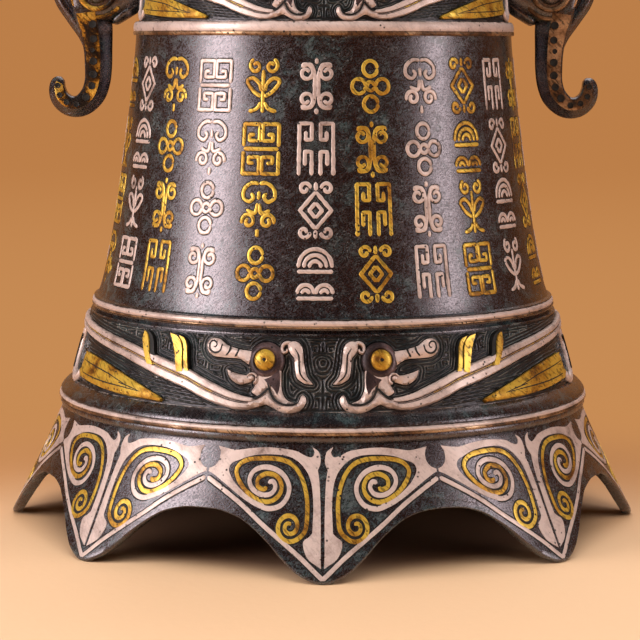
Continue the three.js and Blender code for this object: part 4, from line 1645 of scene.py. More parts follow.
        Strip(Section.GROOVED, 2.0 * tall, 0.6, 0.7, (False, True), 0.02).lay(silver, d.back, place, 1)
        round_strip = Strip(Section.ROUND, 1.8 * tall, 0.6, 0.45, (True, True), 0.03)
        for number, line in enumerate((d.tail, d.brow_coil)):
            round_strip.lay(silver, line, place, 5 + number)
        Strip(Section.ROUND, 2.6 * tall, 0.6, 0.4).lay(silver, d.claw_coil, place)
        plate = Plate(2.0 * tall, 0.55, 0.6, 1.2)
        for shape in (d.plume, d.claw, d.brow, d.head):
            plate.lay(silver, smooth_outline(shape, 0.6), place)
        Plate(2.25 * tall, 0.55, 0.6, 1.2).lay(silver, smooth_outline(d.chin, 0.6), place)
        boss(silver, d.claw_bead, tall_profile(d.bead_profile), place, 20)
        # the socket ring and the cheek plate under it are darkened silver: painted shade
        boss(dim, d.socket, tall_profile(d.socket_profile), place)
        Plate(2.14 * tall, 0.97, 0.6, 1.2).lay(dim, smooth_outline(d.cheek_shadow, 0.6), place)
        boss(eye, d.eye, tall_profile(d.eye_profile), place)
        boss(dark, d.eye, tall_profile(d.pupil_profile), place, 16)
        line = Strip(Section.FLUSH, 0.14, 0.3, 0.5, (True, True), 0.08)
        for number, crease in enumerate(d.creases):
            line.lay(dark, crease, raised(1.96), number)
        for crease in (d.head_seam, d.lip_seam):
            line.lay(dark, crease, raised(2.2))
        golden = np.array(d.back)[:, :2] + (0, 0.15)
        gold_wire = Strip(Section.ROUND, 0.25, 0.4, 0.8, (False, True), 0.1)
        gold_wire.lay(gold, with_width(golden[:-4], 0.24), raised(1.2))
        line.lay(dark, with_width(golden, 0.42), raised(1.15))
        # painted shadow: a dark plate under each gold fin shows as its shaded right side
        for fin in d.fins:
            Plate(1.8 * tall, 0.9, 0.6, 9).lay(dark, smooth_outline(fin, 0.5), place)
        for fin in d.gold_fins:
            Plate(2.3 * tall, 0.97, 0.6, 9).lay(gold, smooth_outline(fin, 0.45), place)
        Plate(2.0 * tall, 0.72, 0.6, 1.8).lay(wing, smooth_outline(d.wing, 1.2), place)
        for cut in d.wing_cuts:
            line.lay(dark, cut, raised(1.97))
        self.piece(f"{name}_silver", silver, self.finishes.silver, Slot.SILVER, [f"{name}_body"])
        self.piece(f"{name}_gold_fins", gold, self.finishes.gold, Slot.GOLD)
        self.piece(f"{name}_gold_eye", eye, self.finishes.gold, Slot.GOLD, [f"{name}_eye"])
        self.piece(f"{name}_gold_wing", wing, self.finishes.gold, Slot.GOLD, [f"{name}_wing"])
        self.piece(f"{name}_socket", dim, self.finishes.shaded_silver, Slot.SILVER)
        # the creases piece also holds the dark fin plates, which are painted shadow
        self.piece(f"{name}_creases", dark, self.finishes.seam, Slot.BRONZE)

    def build(self) -> None:
        """Builds the ground and the dragons."""
        self.build_ground()
        for quarter in Quarter:
            self.build_dragon(quarter)


@dataclass(frozen=True)
class PetalDrawing:
    """The inlay of the left half of a petal, in mm on a radius of 115: along, height above the ground."""

    reference_radius: float = 115.0
    middle: float = -1.9
    squeeze: float = 0.951
    frame_runs: Runs = (
        ((-2.45, 5.4), (-2.6, 12), (-2.62, 21.2), (-2.8, 27.8), (-3.2, 33.6)),
        ((-3.9, 37.6), (-2.9, 39.6), (-2.85, 41.8), (-3.7, 43.9)),
        ((-6.2, 45.4), (-5.3, 43.4), (-6.6, 41.9), (-9.6, 42.6), (-12.4, 43.8), (-17.4, 44.6), (-24.6, 45),
         (-31.5, 44.5), (-38.5, 43.6)),
        ((-46.2, 44.6), (-45, 42.6), (-45.1, 39.8), (-46.6, 37.8)),
        ((-48.9, 36.9),),
        ((-48.9, 35.9), (-46.6, 35), (-41.9, 32.6), (-37.5, 30.1), (-33.2, 27.7), (-29.1, 25.7)),
        ((-24.8, 24.1),),
        ((-24.4, 26), (-29.3, 27.6), (-33.5, 30), (-37.6, 33.1), (-40.3, 36.7), (-39.4, 39.1), (-36.3, 40.3),
         (-31.2, 41.9), (-24.4, 42.6), (-17.2, 42.3), (-12.4, 40.7), (-8.8, 37.7), (-6.8, 34.4), (-5.8, 30),
         (-5.45, 24.5)),
        ((-5.7, 16.8), (-6.9, 15.6), (-8.8, 14.2), (-8.7, 11.8), (-6.9, 8.4)),
    )
    silver_wire: Rows = (
        (-25.6, 25.1), (-22, 24.6), (-18.1, 25.7), (-15.6, 28.6), (-15.1, 32), (-17.1, 35.4), (-20.8, 37.6),
        (-25.6, 38.3), (-29.7, 36.9), (-31.2, 33.8), (-29.4, 30.8), (-25.7, 29.1), (-22.1, 29.5),
        (-20.5, 31.7), (-21.6, 33.6), (-23.6, 33.2),
    )
    gold_wire: Rows = (
        (-8.6, 17.2), (-7.8, 20.6), (-7.9, 27.8), (-9.9, 34.4), (-13.7, 39), (-19.1, 41), (-27.1, 41.2),
        (-33.7, 40.2), (-36.9, 37.6), (-36.4, 34.8), (-33.7, 31.5), (-30.2, 28.9), (-25.8, 27),
        (-21.7, 27.1), (-18.7, 29.3), (-18.1, 32.4), (-20.2, 35.3), (-24.3, 36.1), (-27.6, 34.5),
        (-27.6, 31.9), (-25.2, 30.9), (-23.7, 31.7),
    )
    small_coil: Pair = (-14.2, 18.9)
    edge_strip: Rows = (
        (-1.7, 1.7), (-4.4, 4.1), (-9.8, 8.9), (-17, 14.2), (-24.6, 19.5), (-32.8, 25.3), (-41.5, 30.2),
        (-49, 33.9),
    )
    wire_half: float = 0.93
    gold_half: float = 0.84
    strip_half: float = 0.82
    seam_width: float = 0.48


@dataclass
class PetalInlay(Assembly):
    """The inlays of the eight petals, and the strips along their edges."""

    drawing: PetalDrawing = field(default_factory=PetalDrawing)

    def laid(self, number: int, side: int) -> Place:
        """Gives the function that lays half a petal's drawing onto the skirt.

        Args:
            number: The petal's number.
            side: 1 for its left half, -1 for its right half.

        Returns:
            The function, which takes along, up and out.
        """
        d = self.drawing
        middle = number * TURN / self.form.petals

        def place(along: Array, up: Array, out: Array) -> Array:
            """Lays points of the drawing onto the skirt."""
            angle = (along - d.middle) * d.squeeze / d.reference_radius
            return self.form.on_bell(middle + side * angle, up, out)

        return place

    def build_petal(self, number: int) -> None:
        """Builds one petal's inlay.

        Args:
            number: The petal's number, from 0 at the front round to the right.
        """
        d = self.drawing
        silver, gold, seams, edge = Form(), Form(), Form(), Form()
        wire = Strip(Section.FLUSH, 0.2, 0.4, 0.6)
        seam = Strip(Section.FLUSH, 0.07, 0.4, 0.8)
        frame_outline = smooth_outline(d.frame_runs, 0.7)
        coil = spiral(d.small_coil, (0.7, 5.1), -1.89, 1.75)
        gold_line = np.vstack([coil, d.gold_wire])
        for side in (1, -1):
            place = self.laid(number, side)
            Plate(0.2, 0.85, 0.4, 1.2).lay(silver, frame_outline, place)
            wire.lay(silver, with_width(d.silver_wire, d.wire_half, d.wire_half, 0.85), place, number)
            wire.lay(gold, with_width(gold_line, 0.7, d.gold_half, d.gold_half, 0.85), place, number + 9)
            wide = d.seam_width
            seam.lay(seams, with_width(d.silver_wire, d.wire_half + wide), place)
            seam.lay(seams, with_width(gold_line, d.gold_half + wide), place)
        for petal, side in ((number, -1), (number + 1, 1)):
            place = self.laid(petal, side)
            wire.lay(edge, with_width(d.edge_strip, d.strip_half), place, petal + 30)
            seam.lay(seams, with_width(d.edge_strip, d.strip_half + d.seam_width), place)
        label = number + 1
        self.piece(f"petal_{label}_silver_scrolls", silver, self.finishes.silver, Slot.SILVER)
        self.piece(f"petal_{label}_gold_scrolls", gold, self.finishes.gold, Slot.GOLD)
        self.piece(f"petal_{label}_seams", seams, self.finishes.seam, Slot.BRONZE)
        node = f"petal_edge_inlay_{label}"
        self.piece(f"petal_{label}_edge_strips", edge, self.finishes.silver, Slot.SILVER, [node])

    def build(self) -> None:
        """Builds all petals."""
        for number in range(self.form.petals):
            self.build_petal(number)


def ring(centre: Sequence[float], radius: float, turns: float = 1) -> Array:
    """Draws a round arc from its right side."""
    return spiral(centre, (radius, radius), 0, turns)


def polyline(*points: Sequence[float], spacing: float = 0.06) -> Array:
    """Draws straight runs whose corners stay tight.

    Args:
        *points: Its corners.
        spacing: About how far apart its rows are.

    Returns:
        Rows of along and up.
    """
    p = np.array(points, float)
    rows = [p[:1]]
    for a, b in zip(p, p[1:]):
        count = max(2, int(np.linalg.norm(b - a) / spacing))
        rows.append(a + (b - a) * (np.arange(1, count + 1) / count)[:, None])
    return np.vstack(rows)


@dataclass(frozen=True, eq=False)
class MotifLines:
    """The lines of a motif: those of its left half, which are mirrored, and those in its middle."""

    half: Runs
    middle: Runs = ()


class Motif(Enum):
    """Ornaments of the barrel, in a cell from -1 to 1 across and -1.3 to 1.3 up."""

    SCROLL_PAIR = MotifLines(
        (
            spiral((-0.52, 0.62), (0.1, 0.42), 0, 1.35),
            spiral((-0.52, -0.62), (0.1, 0.42), 0, -1.35),
            ((-0.78, 0.9), (-0.3, 0.98), (-0.1, 0.5), (-0.1, 0), (-0.1, -0.5), (-0.3, -0.98), (-0.78, -0.9)),
        ),
        (polyline((0, 1.3), (0, 1.02)), polyline((0, -1.02), (0, -1.3))),
    )
    SQUARE_SPIRALS = MotifLines(
        tuple(
            polyline((-0.32, 0.66), (-0.62, 0.66), (-0.62, 0.38), (-0.08, 0.38), (-0.08, 1.15),
                     (-0.92, 1.15), (-0.92, 0.1)) * [1, side]
            for side in (1, -1)
        ),
        (polyline((-0.92, 0), (0.92, 0)),),
    )
    HOOKED_LOZENGE = MotifLines(
        (
            polyline((0, 0.86), (-0.78, 0), (0, -0.86)),
            polyline((0, 0.36), (-0.32, 0), (0, -0.36)),
            *(spiral((-0.56, 1.0), (0.08, 0.3), 0.1, -1.1) * [1, side] for side in (1, -1)),
        ),
        (polyline((0, 0.9), (0, 1.3)), polyline((0, -0.9), (0, -1.3))),
    )
    ROSETTE = MotifLines(
        (ring((-0.6, 0), 0.34),),
        (ring((0, 0.82), 0.36), ring((0, -0.82), 0.36), ring((0, 0), 0.2)),
    )
    VINE = MotifLines(
        (
            ((-0.08, -0.5), (-0.5, -0.25), (-0.85, 0.2), (-0.55, 0.36), (-0.2, 0.1), (-0.08, -0.25)),
            spiral((-0.42, 0.92), (0.08, 0.34), 0.5, -1.2),
            ((-0.08, -0.75), (-0.3, -1.05), (-0.72, -1.2)),
        ),
        (polyline((0, 0.75), (0, -1.25)),),
    )
    FRET = MotifLines((
        polyline((-0.85, -1.2), (-0.85, 1.2), (-0.22, 1.2), (-0.22, 0.45), (-0.52, 0.45), (-0.52, 0.85)),
        polyline((-0.22, -1.2), (-0.22, -0.1), (-0.55, -0.1), (-0.55, -0.75)),
    ))
    CLOUD = MotifLines(
        (
            ((0, 1.2), (-0.4, 1.22), (-0.78, 0.95), (-0.82, 0.55), (-0.5, 0.36), (-0.28, 0.56),
             (-0.42, 0.76)),
            spiral((-0.48, -0.55), (0.08, 0.38), 0.25, 1.3),
            ((-0.06, 0.3), (-0.12, -0.1), (-0.3, -0.16), (-0.62, -0.02)),
        ),
        (polyline((0, 0.85), (0, 0.45)), polyline((0, -0.9), (0, -1.28))),
    )
    SCALES = MotifLines(
        (ring((-0.46, -0.9), 0.18, 0.5), ring((-0.46, -0.9), 0.42, 0.5)),
        (
            *(ring((0, 0.3), radius, 0.5) for radius in (0.3, 0.58, 0.86)),
            polyline((-0.9, 0.12), (0.9, 0.12)),
            polyline((-0.9, -1.1), (0.9, -1.1)),
        ),
    )


@dataclass
class BarrelMarks(Assembly):
    """Columns of inlaid ornament round the barrel, gold and silver by turns."""

    columns: int = 24
    first_angle: float = -2.0
    row_shares: tuple[float, ...] = (0.818, 0.593, 0.377, 0.151)
    half_width: float = 7.3
    half_height: float = 7.8
    wire_half: float = 0.74
    seam_width: float = 0.36

    def build(self) -> None:
        """Builds every column."""
        f = self.form
        height = f.barrel_high - f.barrel_low
        rows = [f.barrel_low + share * height for share in self.row_shares]
        motifs = list(Motif)
        wire = Strip(Section.ROUND, 0.24, 0.4, 0.42, (True, True), 0.10)
        seam = Strip(Section.FLUSH, 0.06, 0.3, 0.7, (True, True), 0.05)
        for column in range(self.columns):
            angle = math.radians(self.first_angle) + column * TURN / self.columns
            metal, seams = Form(), Form()
            for row, middle in enumerate(rows):
                motif = motifs[(3 * column + 5 * row + column // 3) % len(motifs)].value
                radius = float(np.interp(middle, f.outline_height, f.outline_radius))

                def place(along: Array, up: Array, out: Array) -> Array:
                    """Lays points of this cell onto the barrel."""
                    return f.on_bell(angle + along / radius, middle + up, out)

                lines = [*motif.middle, *motif.half, *(np.array(line) * [-1, 1] for line in motif.half)]
                for number, line in enumerate(lines):
                    drawn = np.array(line) * [self.half_width, self.half_height]
                    seed = 100 * column + 10 * row + number
                    wire.lay(metal, with_width(drawn, self.wire_half), place, seed)
                    seam.lay(seams, with_width(drawn, self.wire_half + self.seam_width), place, number)
            slot, finish = Slot.SILVER, self.finishes.silver
            if column % 2:
                slot, finish = Slot.GOLD, self.finishes.gold
            name = f"barrel_column_{column + 1}"
            self.piece(f"{name}_{slot.name.lower()}", metal, finish, slot)
            self.piece(f"{name}_seams", seams, self.finishes.seam, Slot.BRONZE)


@dataclass
class BeastEar(Assembly):
    """A beast's head at the side whose trunk hangs and curls outwards, drawn for the right side in mm."""

    name: str
    side: int
    trunk: Rows = (
        (91.5, 207.8, 8.2, 7.4, 0), (90.8, 199.8, 7.4, 7, 0), (89.6, 193.3, 6.5, 6.4, 0),
        (88.9, 185.8, 5.6, 5.8, 0), (88.8, 178.8, 5.3, 5.5, 0), (89.3, 172.8, 5, 5.2, 0),
        (91.2, 167.6, 4.8, 5, 0), (95.4, 163.7, 4.4, 4.8, 0), (100.3, 163.4, 4.1, 4.5, 0),
        (104.1, 166.4, 3.8, 4.3, 0), (105.2, 171, 3.2, 4, 0), (103.6, 174.8, 2.3, 3.2, 0),
    )
    crest: Rows = (
        (90.5, 182.8, 2.4, 3, 0), (93.6, 190.8, 2.6, 3.4, 0), (98.4, 197.8, 2.6, 3.5, 0),
        (102.8, 204.3, 2.5, 3.4, 0), (104.8, 211.3, 2.4, 3.2, 0), (104, 217.8, 2.3, 3, 0),
        (100.4, 222.4, 2.1, 2.7, 0), (95.6, 223.4, 1.8, 2.4, 0), (92.8, 220.2, 1.3, 1.9, 0),
    )
    web: Rows = (
        (89, 186.8, 3, 2.2, 0), (93, 194.8, 4.2, 2.4, 0), (97, 202.8, 5.6, 2.4, 0), (98, 210.8, 6.4, 2.2, 0),
        (95, 217.8, 5, 2, 0),
    )
    neck: Rows = (
        (88, 201.3, 5, 6, 0), (82, 204.2, 6.6, 7, 0), (75, 208, 7.2, 7.8, 0), (68.9, 210.4, 7.4, 8.2, 0),
    )
    jaw: Rows = (
        (70.5, 205.6, 2.2, 5.4, 0), (74.5, 202.2, 2.6, 5.6, 0), (79.5, 199, 2.6, 5.4, 0),
        (83.2, 195.8, 1.8, 4.4, 0),
    )
    horn: Rows = (
        (83, 216.8, 2, 1.9, 5.6), (80.5, 221.8, 1.9, 1.8, 6.2), (82.5, 225.8, 1.6, 1.5, 6.4),
        (87, 226.4, 1, 1, 6.2),
    )
    cheek_centre: Pair = (88.6, 208.2)
    cheek: Rows = (  # the outer half of its profile, from the face to the middle
        (0.4, 9.3), (2, 9.1), (3.4, 8.6), (4.3, 7.8), (4.8, 7.2), (5.5, 7.1), (8.6, 6.6), (9.3, 6.1),
        (11, 5.2), (11.8, 3.6), (12.1, 1.2),
    )
    cheek_hoops: Rows = ((6.9, 1, 7.3), (10.2, 0.95, 5.7))
    # dark discs on the gilded face: painted shade of dents
    pits: Rows = (
        (90.4, 195.4, 1.9), (90.1, 189.7, 1.8), (90.6, 185.4, 1.2), (90.3, 181, 1.9), (90.4, 175.9, 1.9),
        (91.1, 171.4, 1.8), (93.4, 167, 1.9), (97.2, 164.2, 1.5), (101.2, 165, 1.4), (103.9, 167.7, 1.4),
        (104.6, 171.4, 1.4),
    )
    pit_profile: Rows = ((0.82, -1.4), (0.82, 0.28), (0.74, 0.42), (0.6, 0.36), (0.42, 0.3), (0.06, 0.28))

    def build(self) -> None:
        """Builds the ear with its inlays and pits."""
        bronze, gold, pits = Form(), Form(), Form()
        place = plane(self.side)
        trunk = Limb(Girth.WEDGE, 0.7, (False, True))
        trunk.lay(bronze, self.trunk, place)
        Limb(Girth.RIDGED, 0.7).lay(bronze, self.crest[::-1], place)
        for rows in (self.web, self.jaw):
            Limb(Girth.OVAL, 0.8).lay(bronze, rows, place)
        Limb(Girth.OVAL, 0.8, (True, False)).lay(bronze, self.neck, place)
        centre = place(*self.cheek_centre, 0.0) / MM
        turned(bronze, [*((r, -y) for r, y in self.cheek), *self.cheek[::-1]], centre, "y")
        line, _, _ = trunk.course(self.trunk)
        for face in (-1, 1):
            Limb(Girth.OVAL, 0.6).lay(bronze, mirrored(self.horn, face), place)
            trunk.clad(gold, self.trunk, place, (0.27, 0.535), (0.12, 0.97), face)
            for radius, thick, level in self.cheek_hoops:
                turned(gold, hoop(radius, thick, face * level), centre, "y", is_ring=True)
            # painted shade: each dent is shown as a dark raised disc
            for out, up, radius in self.pits:
                nearest = line[np.argmin(np.hypot(line[:, 0] - out, line[:, 1] - up))]
                profile = [(radius * r, h) for r, h in self.pit_profile]
                boss(pits, (out, up), profile, on_face(place, face, nearest[3]), 22)
        self.piece(f"{self.name}_bronze", bronze, self.finishes.bronze, Slot.BRONZE, [self.name])
        gilding = self.finishes.copper if self.side > 0 else self.finishes.worn_gold
        self.piece(f"{self.name}_gold", gold, gilding, Slot.GOLD)
        self.piece(f"{self.name}_pits", pits, self.finishes.seam, Slot.BRONZE)


@dataclass
class EarScrew(Assembly):
    """A round-headed screw with a small hollow in its head, put in from inside."""

    name: str
    head_radius: float = 3.6
    head_height: float = 3.0
    shank_radius: float = 2.0
    thread_pitch: float = 0.8
    thread_depth: float = 0.22

    def build(self) -> None:
        """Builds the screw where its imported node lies."""
        low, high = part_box(self.name)
        side = 1 if low.x > 0 else -1
        start, end = (low.x, high.x) if side > 0 else (-high.x, -low.x)
        start, end, level = start / MM, end / MM, (low.z + high.z) / 2 / MM
        r, top = self.head_radius, start + self.head_height
        crests = thread(self.shank_radius, top + 0.8, end - 1.6, self.thread_pitch / 2, self.thread_depth)
        profile = [
            (0.3, start + 1.1), (0.9, start + 1.1), (1.3, start), (r - 0.9, start + 0.15),
            (r - 0.2, start + 0.9), (r, start + 1.7), (r, top), (self.shank_radius, top + 0.05), *crests,
            (self.shank_radius - 0.3, end - 1.0), (0.8, end), (0.2, end),
        ]
        made = Form()
        turned(made, [(radius, side * x) for radius, x in profile], (0, 0, level), "x", 32)
        self.piece(f"{self.name}_turned", made, self.finishes.bare, Slot.BARE, [self.name])


@dataclass
class HexNut(Assembly):
    """A hexagonal nut with chamfered corners."""

    name: str
    body: str = "bell"
    corner_chamfer: float = 0.8

    def build(self) -> None:
        """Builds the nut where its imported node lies."""
        low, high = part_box(self.name)
        centre = (low + high) / 2 / MM
        half_height, radius = (high.z - low.z) / 2 / MM, (high.x - low.x) / 2 / MM
        angle = full_turn(72)
        sixth = math.pi / 3
        hexagon = radius * math.cos(sixth / 2) / np.cos((angle + sixth / 2) % sixth - sixth / 2)
        bore = max(0.3, radius * 0.45)
        cuts = ((bore, 0), (radius * 0.86, 0), (radius, self.corner_chamfer))
        rings = []
        for end, limits in ((-1, cuts), (1, cuts[::-1])):
            for limit, chamfer in limits:
                r = np.minimum(hexagon, limit)
                level = centre.z + end * half_height - end * chamfer
                ring = (centre.x + r * np.cos(angle), centre.y + r * np.sin(angle), level + 0 * angle)
                rings.append(np.stack(ring, axis=1))
        made = Form()
        made.skin(np.array(rings) * MM, ring_closes=True)
        self.piece(f"{self.name}_cut", made, self.finishes.bare, Slot.BARE, [self.name], self.body)


@dataclass
class CrownLoop(Assembly):
    """The loop on the crown: one scaly body with a dragon's head at either end."""

    leg_offset: float = 24.0
    spring: float = 265.8
    top: float = 291.6
    bow: float = 27.0
    foot_level: float = 249.7
    body_half: float = 6.5
    head: Rows = (
        (24, 252.5, 8.6, 8.8, 0), (24.2, 256, 8.8, 8.6, 0), (25, 260.5, 7.9, 7.8, 0), (26, 266, 8.2, 7.9, 0),
        (26.8, 270.5, 7.4, 7.2, 0), (26.2, 274.5, 6.2, 6.2, 0),
    )
    foot: Rows = (
        (0.5, 0.2), (9.8, 0.2), (10.8, 0.7), (11, 1.5), (10.7, 2.3), (9.6, 2.9), (9.9, 3.5), (10.2, 4.4),
        (9.7, 5.3), (8.6, 5.8), (6, 6), (0.5, 6),
    )
    horn: Rows = (
        (29.6, 268, 1.7, 1.6, 5.4), (32.2, 273, 1.7, 1.6, 6.4), (31.6, 278.5, 1.5, 1.4, 6.6),
        (28, 281.5, 1, 1, 6.2),
    )
    brow: Rows = (
        (21, 268.6, 1.1, 1.2, 7), (24.6, 271.4, 1.5, 1.4, 7.2), (28.6, 271, 1.4, 1.2, 7),
        (31.2, 268.2, 0.9, 0.9, 6.4),
    )
    nostril: Rows = ((19.8, 258.6, 1.3, 1.3, 6), (18.2, 260.8, 1.2, 1.2, 5.6), (19.6, 263, 0.9, 0.9, 5.4))
    eye: tuple[float, float, float] = (26.2, 267.2, 7.3)
    eyeball: Rows = ((1.5, -1), (1.5, 0.3), (1.2, 0.9), (0.7, 1.3), (0.1, 1.45))
    eye_rim: Rows = ((2.5, -1), (2.5, 0.2), (2.2, 0.5), (1.8, 0.4), (1.6, 0.1), (0.1, 0.1))
    fangs: Rows = ((19.4, 253.6), (24.2, 253.2), (28.8, 253.6))
    fins: int = 15

    def arch(self) -> Rows:
        """Gives the body's rows from foot to foot.

        Returns:
            Rows of out, up, two half sizes and shift.
        """
        turn = np.linspace(0.16, math.pi - 0.16, 21)
        half = np.full(len(turn), self.body_half)
        high = self.spring + (self.top - self.spring) * np.sin(turn)
        return np.stack([-self.bow * np.cos(turn), high, half, half, 0 * turn], axis=1)

    def build(self) -> None:
        """Builds the loop, its heads and its inlays."""
        bronze, gold, silver = Form(), Form(), Form()
        for side in (-1, 1):
            place = plane(side)
            if side > 0:
                Limb(Girth.OVAL, 0.5, (False, False), (4.6, 0.055)).lay(bronze, self.arch(), place)
                inlaid = self.arch() * [1, 1, 1.05, 1.05, 1]
                for face in (-1, 1):
                    strip = Limb(Girth.OVAL, 0.7, (False, False))
                    strip.clad(gold, inlaid, place, (0.44, 0.56), (0.2, 0.8), face)
            Limb(Girth.RIDGED, 0.7, (True, False)).lay(bronze, self.head[::-1], place)
            leg = side * self.leg_offset
            turned(bronze, self.foot, (leg, 0, self.foot_level))
            turned(silver, hoop(10.2, 0.75, 3.4), (leg, 0, self.foot_level - 0.3), is_ring=True)
            for face in (-1, 1):
                self.add_features(bronze, gold, silver, place, face)
        self.add_fins(bronze)
        self.piece("crown_loop_bronze", bronze, self.finishes.bronze, Slot.BRONZE, ["crown_loop"])
        self.piece("crown_loop_gold", gold, self.finishes.gold, Slot.GOLD)
        self.piece("crown_loop_silver", silver, self.finishes.silver, Slot.SILVER)
        self.add_studs()

    def add_features(self, bronze: Form, gold: Form, silver: Form, place: Place, face: int) -> None:
        """Adds the horn, nostril, brow, eye and fangs of one side of a head.

        Args:
            bronze: Receives the horn and the nostril.
            gold: Receives the brow and the eyeball.
            silver: Receives the ring about the eye and the fangs.
            place: Takes out, up and across to points in metres.
            face: 1 or -1 for the side across the loop.
        """
        thin = Limb(Girth.OVAL, 0.6)
        thin.lay(bronze, mirrored(self.horn, face), place)
        thin.lay(bronze, mirrored(self.nostril, face), place)
        thin.lay(gold, mirrored(self.brow, face), place)
        out, up, level = self.eye
        boss(gold, (out, up), self.eyeball, on_face(place, face, level), 24)
        boss(silver, (out, up), self.eye_rim, on_face(place, face, level), 24)
        for out, up in self.fangs:
            fang = [(out, up + 2.6, 0.9, 0.7, 7.9), (out + 0.3, up - 1.4, 0.35, 0.3, 8.5)]
            Limb(Girth.OVAL, 0.5).lay(silver, mirrored(fang, face), place)

    def add_fins(self, bronze: Form) -> None:
        """Adds the small fins along the back of the body.

        Args:
            bronze: Receives them.
        """
        rise = self.top - self.spring
        for turn in np.linspace(0.42, math.pi - 0.42, self.fins):
            way = np.array([-math.cos(turn), math.sin(turn)])
            middle = np.array([-self.bow * math.cos(turn), self.spring + rise * math.sin(turn)])
            inner, outer = middle + way * (self.body_half - 1.2), middle + way * (self.body_half + 1.3)
            fin = [(*inner, 1.6, 1.3, 0), (*outer, 0.7, 0.5, 0)]
            Limb(Girth.OVAL, 0.5, (False, True)).lay(bronze, fin, plane(1))

    def add_studs(self) -> None:
        """Adds the threaded studs that go down through the crown."""
        made = Form()
        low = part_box("crown_loop")[0].z / MM
        crests = thread(3.0, low + 0.5, self.foot_level + 0.3)
        for side in (-1, 1):
            profile = [(0.3, low), (2.3, low), *crests, (0.3, self.foot_level + 0.5)]
            turned(made, profile, (side * self.leg_offset, 0, 0))
        self.piece("crown_loop_studs", made, self.finishes.bare, Slot.BARE)


@dataclass
class DomeInlay(Assembly):
    """Standing blades of silver with gold scrolls round the dome."""

    blades: int = 16
    reference_radius: float = 60.0
    blade: Rows = ((-9.6, 2.4), (-9.9, 9), (-8.2, 18), (-4.9, 27.5), (-0.5, 36.4))
    inner_blade: Rows = ((-4.6, 17.5), (-3, 23.5), (-0.4, 29.5))
    scroll_centre: Pair = (-4.3, 9.2)
    drop: Rows = ((-11.8, 17, 0.5), (-11.8, 20.5, 1.1), (-11.8, 23, 1.3), (-11.8, 25.2, 0.7))
    crown_hoops: Rows = ((41, 0.9), (30, 0.7))

    def on_dome(self, along: Array, up: Array, out: Array) -> Array:
        """Lays points on the dome.

        Args:
            along: Distance round the reference radius, in mm.
            up: Distance up the dome's own outline from its foot, in mm.
            out: Distance out of the surface, in mm.

        Returns:
            Points in metres.
        """
        line = np.array(self.form.dome_line(0, 200))
        run = run_lengths(line)
        way = np.gradient(line, run, axis=0)
        r, z, dr, dz = (np.interp(up, run, column) for column in (*line.T, *way.T))
        return round_points(r + out * dz, along / self.reference_radius, z - out * dr)

    def build(self) -> None:
        """Builds all blades and the hoops round the crown."""
        silver, gold, seams = Form(), Form(), Form()
        wire, seam = Strip(Section.FLUSH, 0.2, 0.4, 0.7), Strip(Section.FLUSH, 0.07, 0.3, 0.9)
        scroll = spiral(self.scroll_centre, (0.7, 3.5), 0.1, 1.5)
        pitch = TURN * self.reference_radius / self.blades
        drawing = ((silver, self.blade, 0.85), (silver, self.inner_blade, 0.6), (gold, scroll, 0.75))
        for number in range(self.blades):
            for side in (-1, 1):

                def place(along: Array, up: Array, out: Array) -> Array:
                    """Lays half a blade's drawing onto the dome."""
                    return self.on_dome(number * pitch + side * along, up, out)

                for form, line, half in drawing:
                    wire.lay(form, with_width(line, half), place, number)
                    seam.lay(seams, with_width(line, half + 0.4), place, number)
                if side > 0:
                    wire.lay(gold, self.drop, place, number)
        self.piece("dome_silver_blades", silver, self.finishes.silver, Slot.SILVER)
        self.piece("dome_gold_scrolls", gold, self.finishes.gold, Slot.GOLD)
        self.piece("dome_seams", seams, self.finishes.seam, Slot.BRONZE)
        rings = Form()
        for radius, thick in self.crown_hoops:
            turned(rings, hoop(radius, thick, self.form.crown_top - 0.35, 0.5), around=160, is_ring=True)
        self.piece("crown_silver_rings", rings, self.finishes.silver, Slot.SILVER)


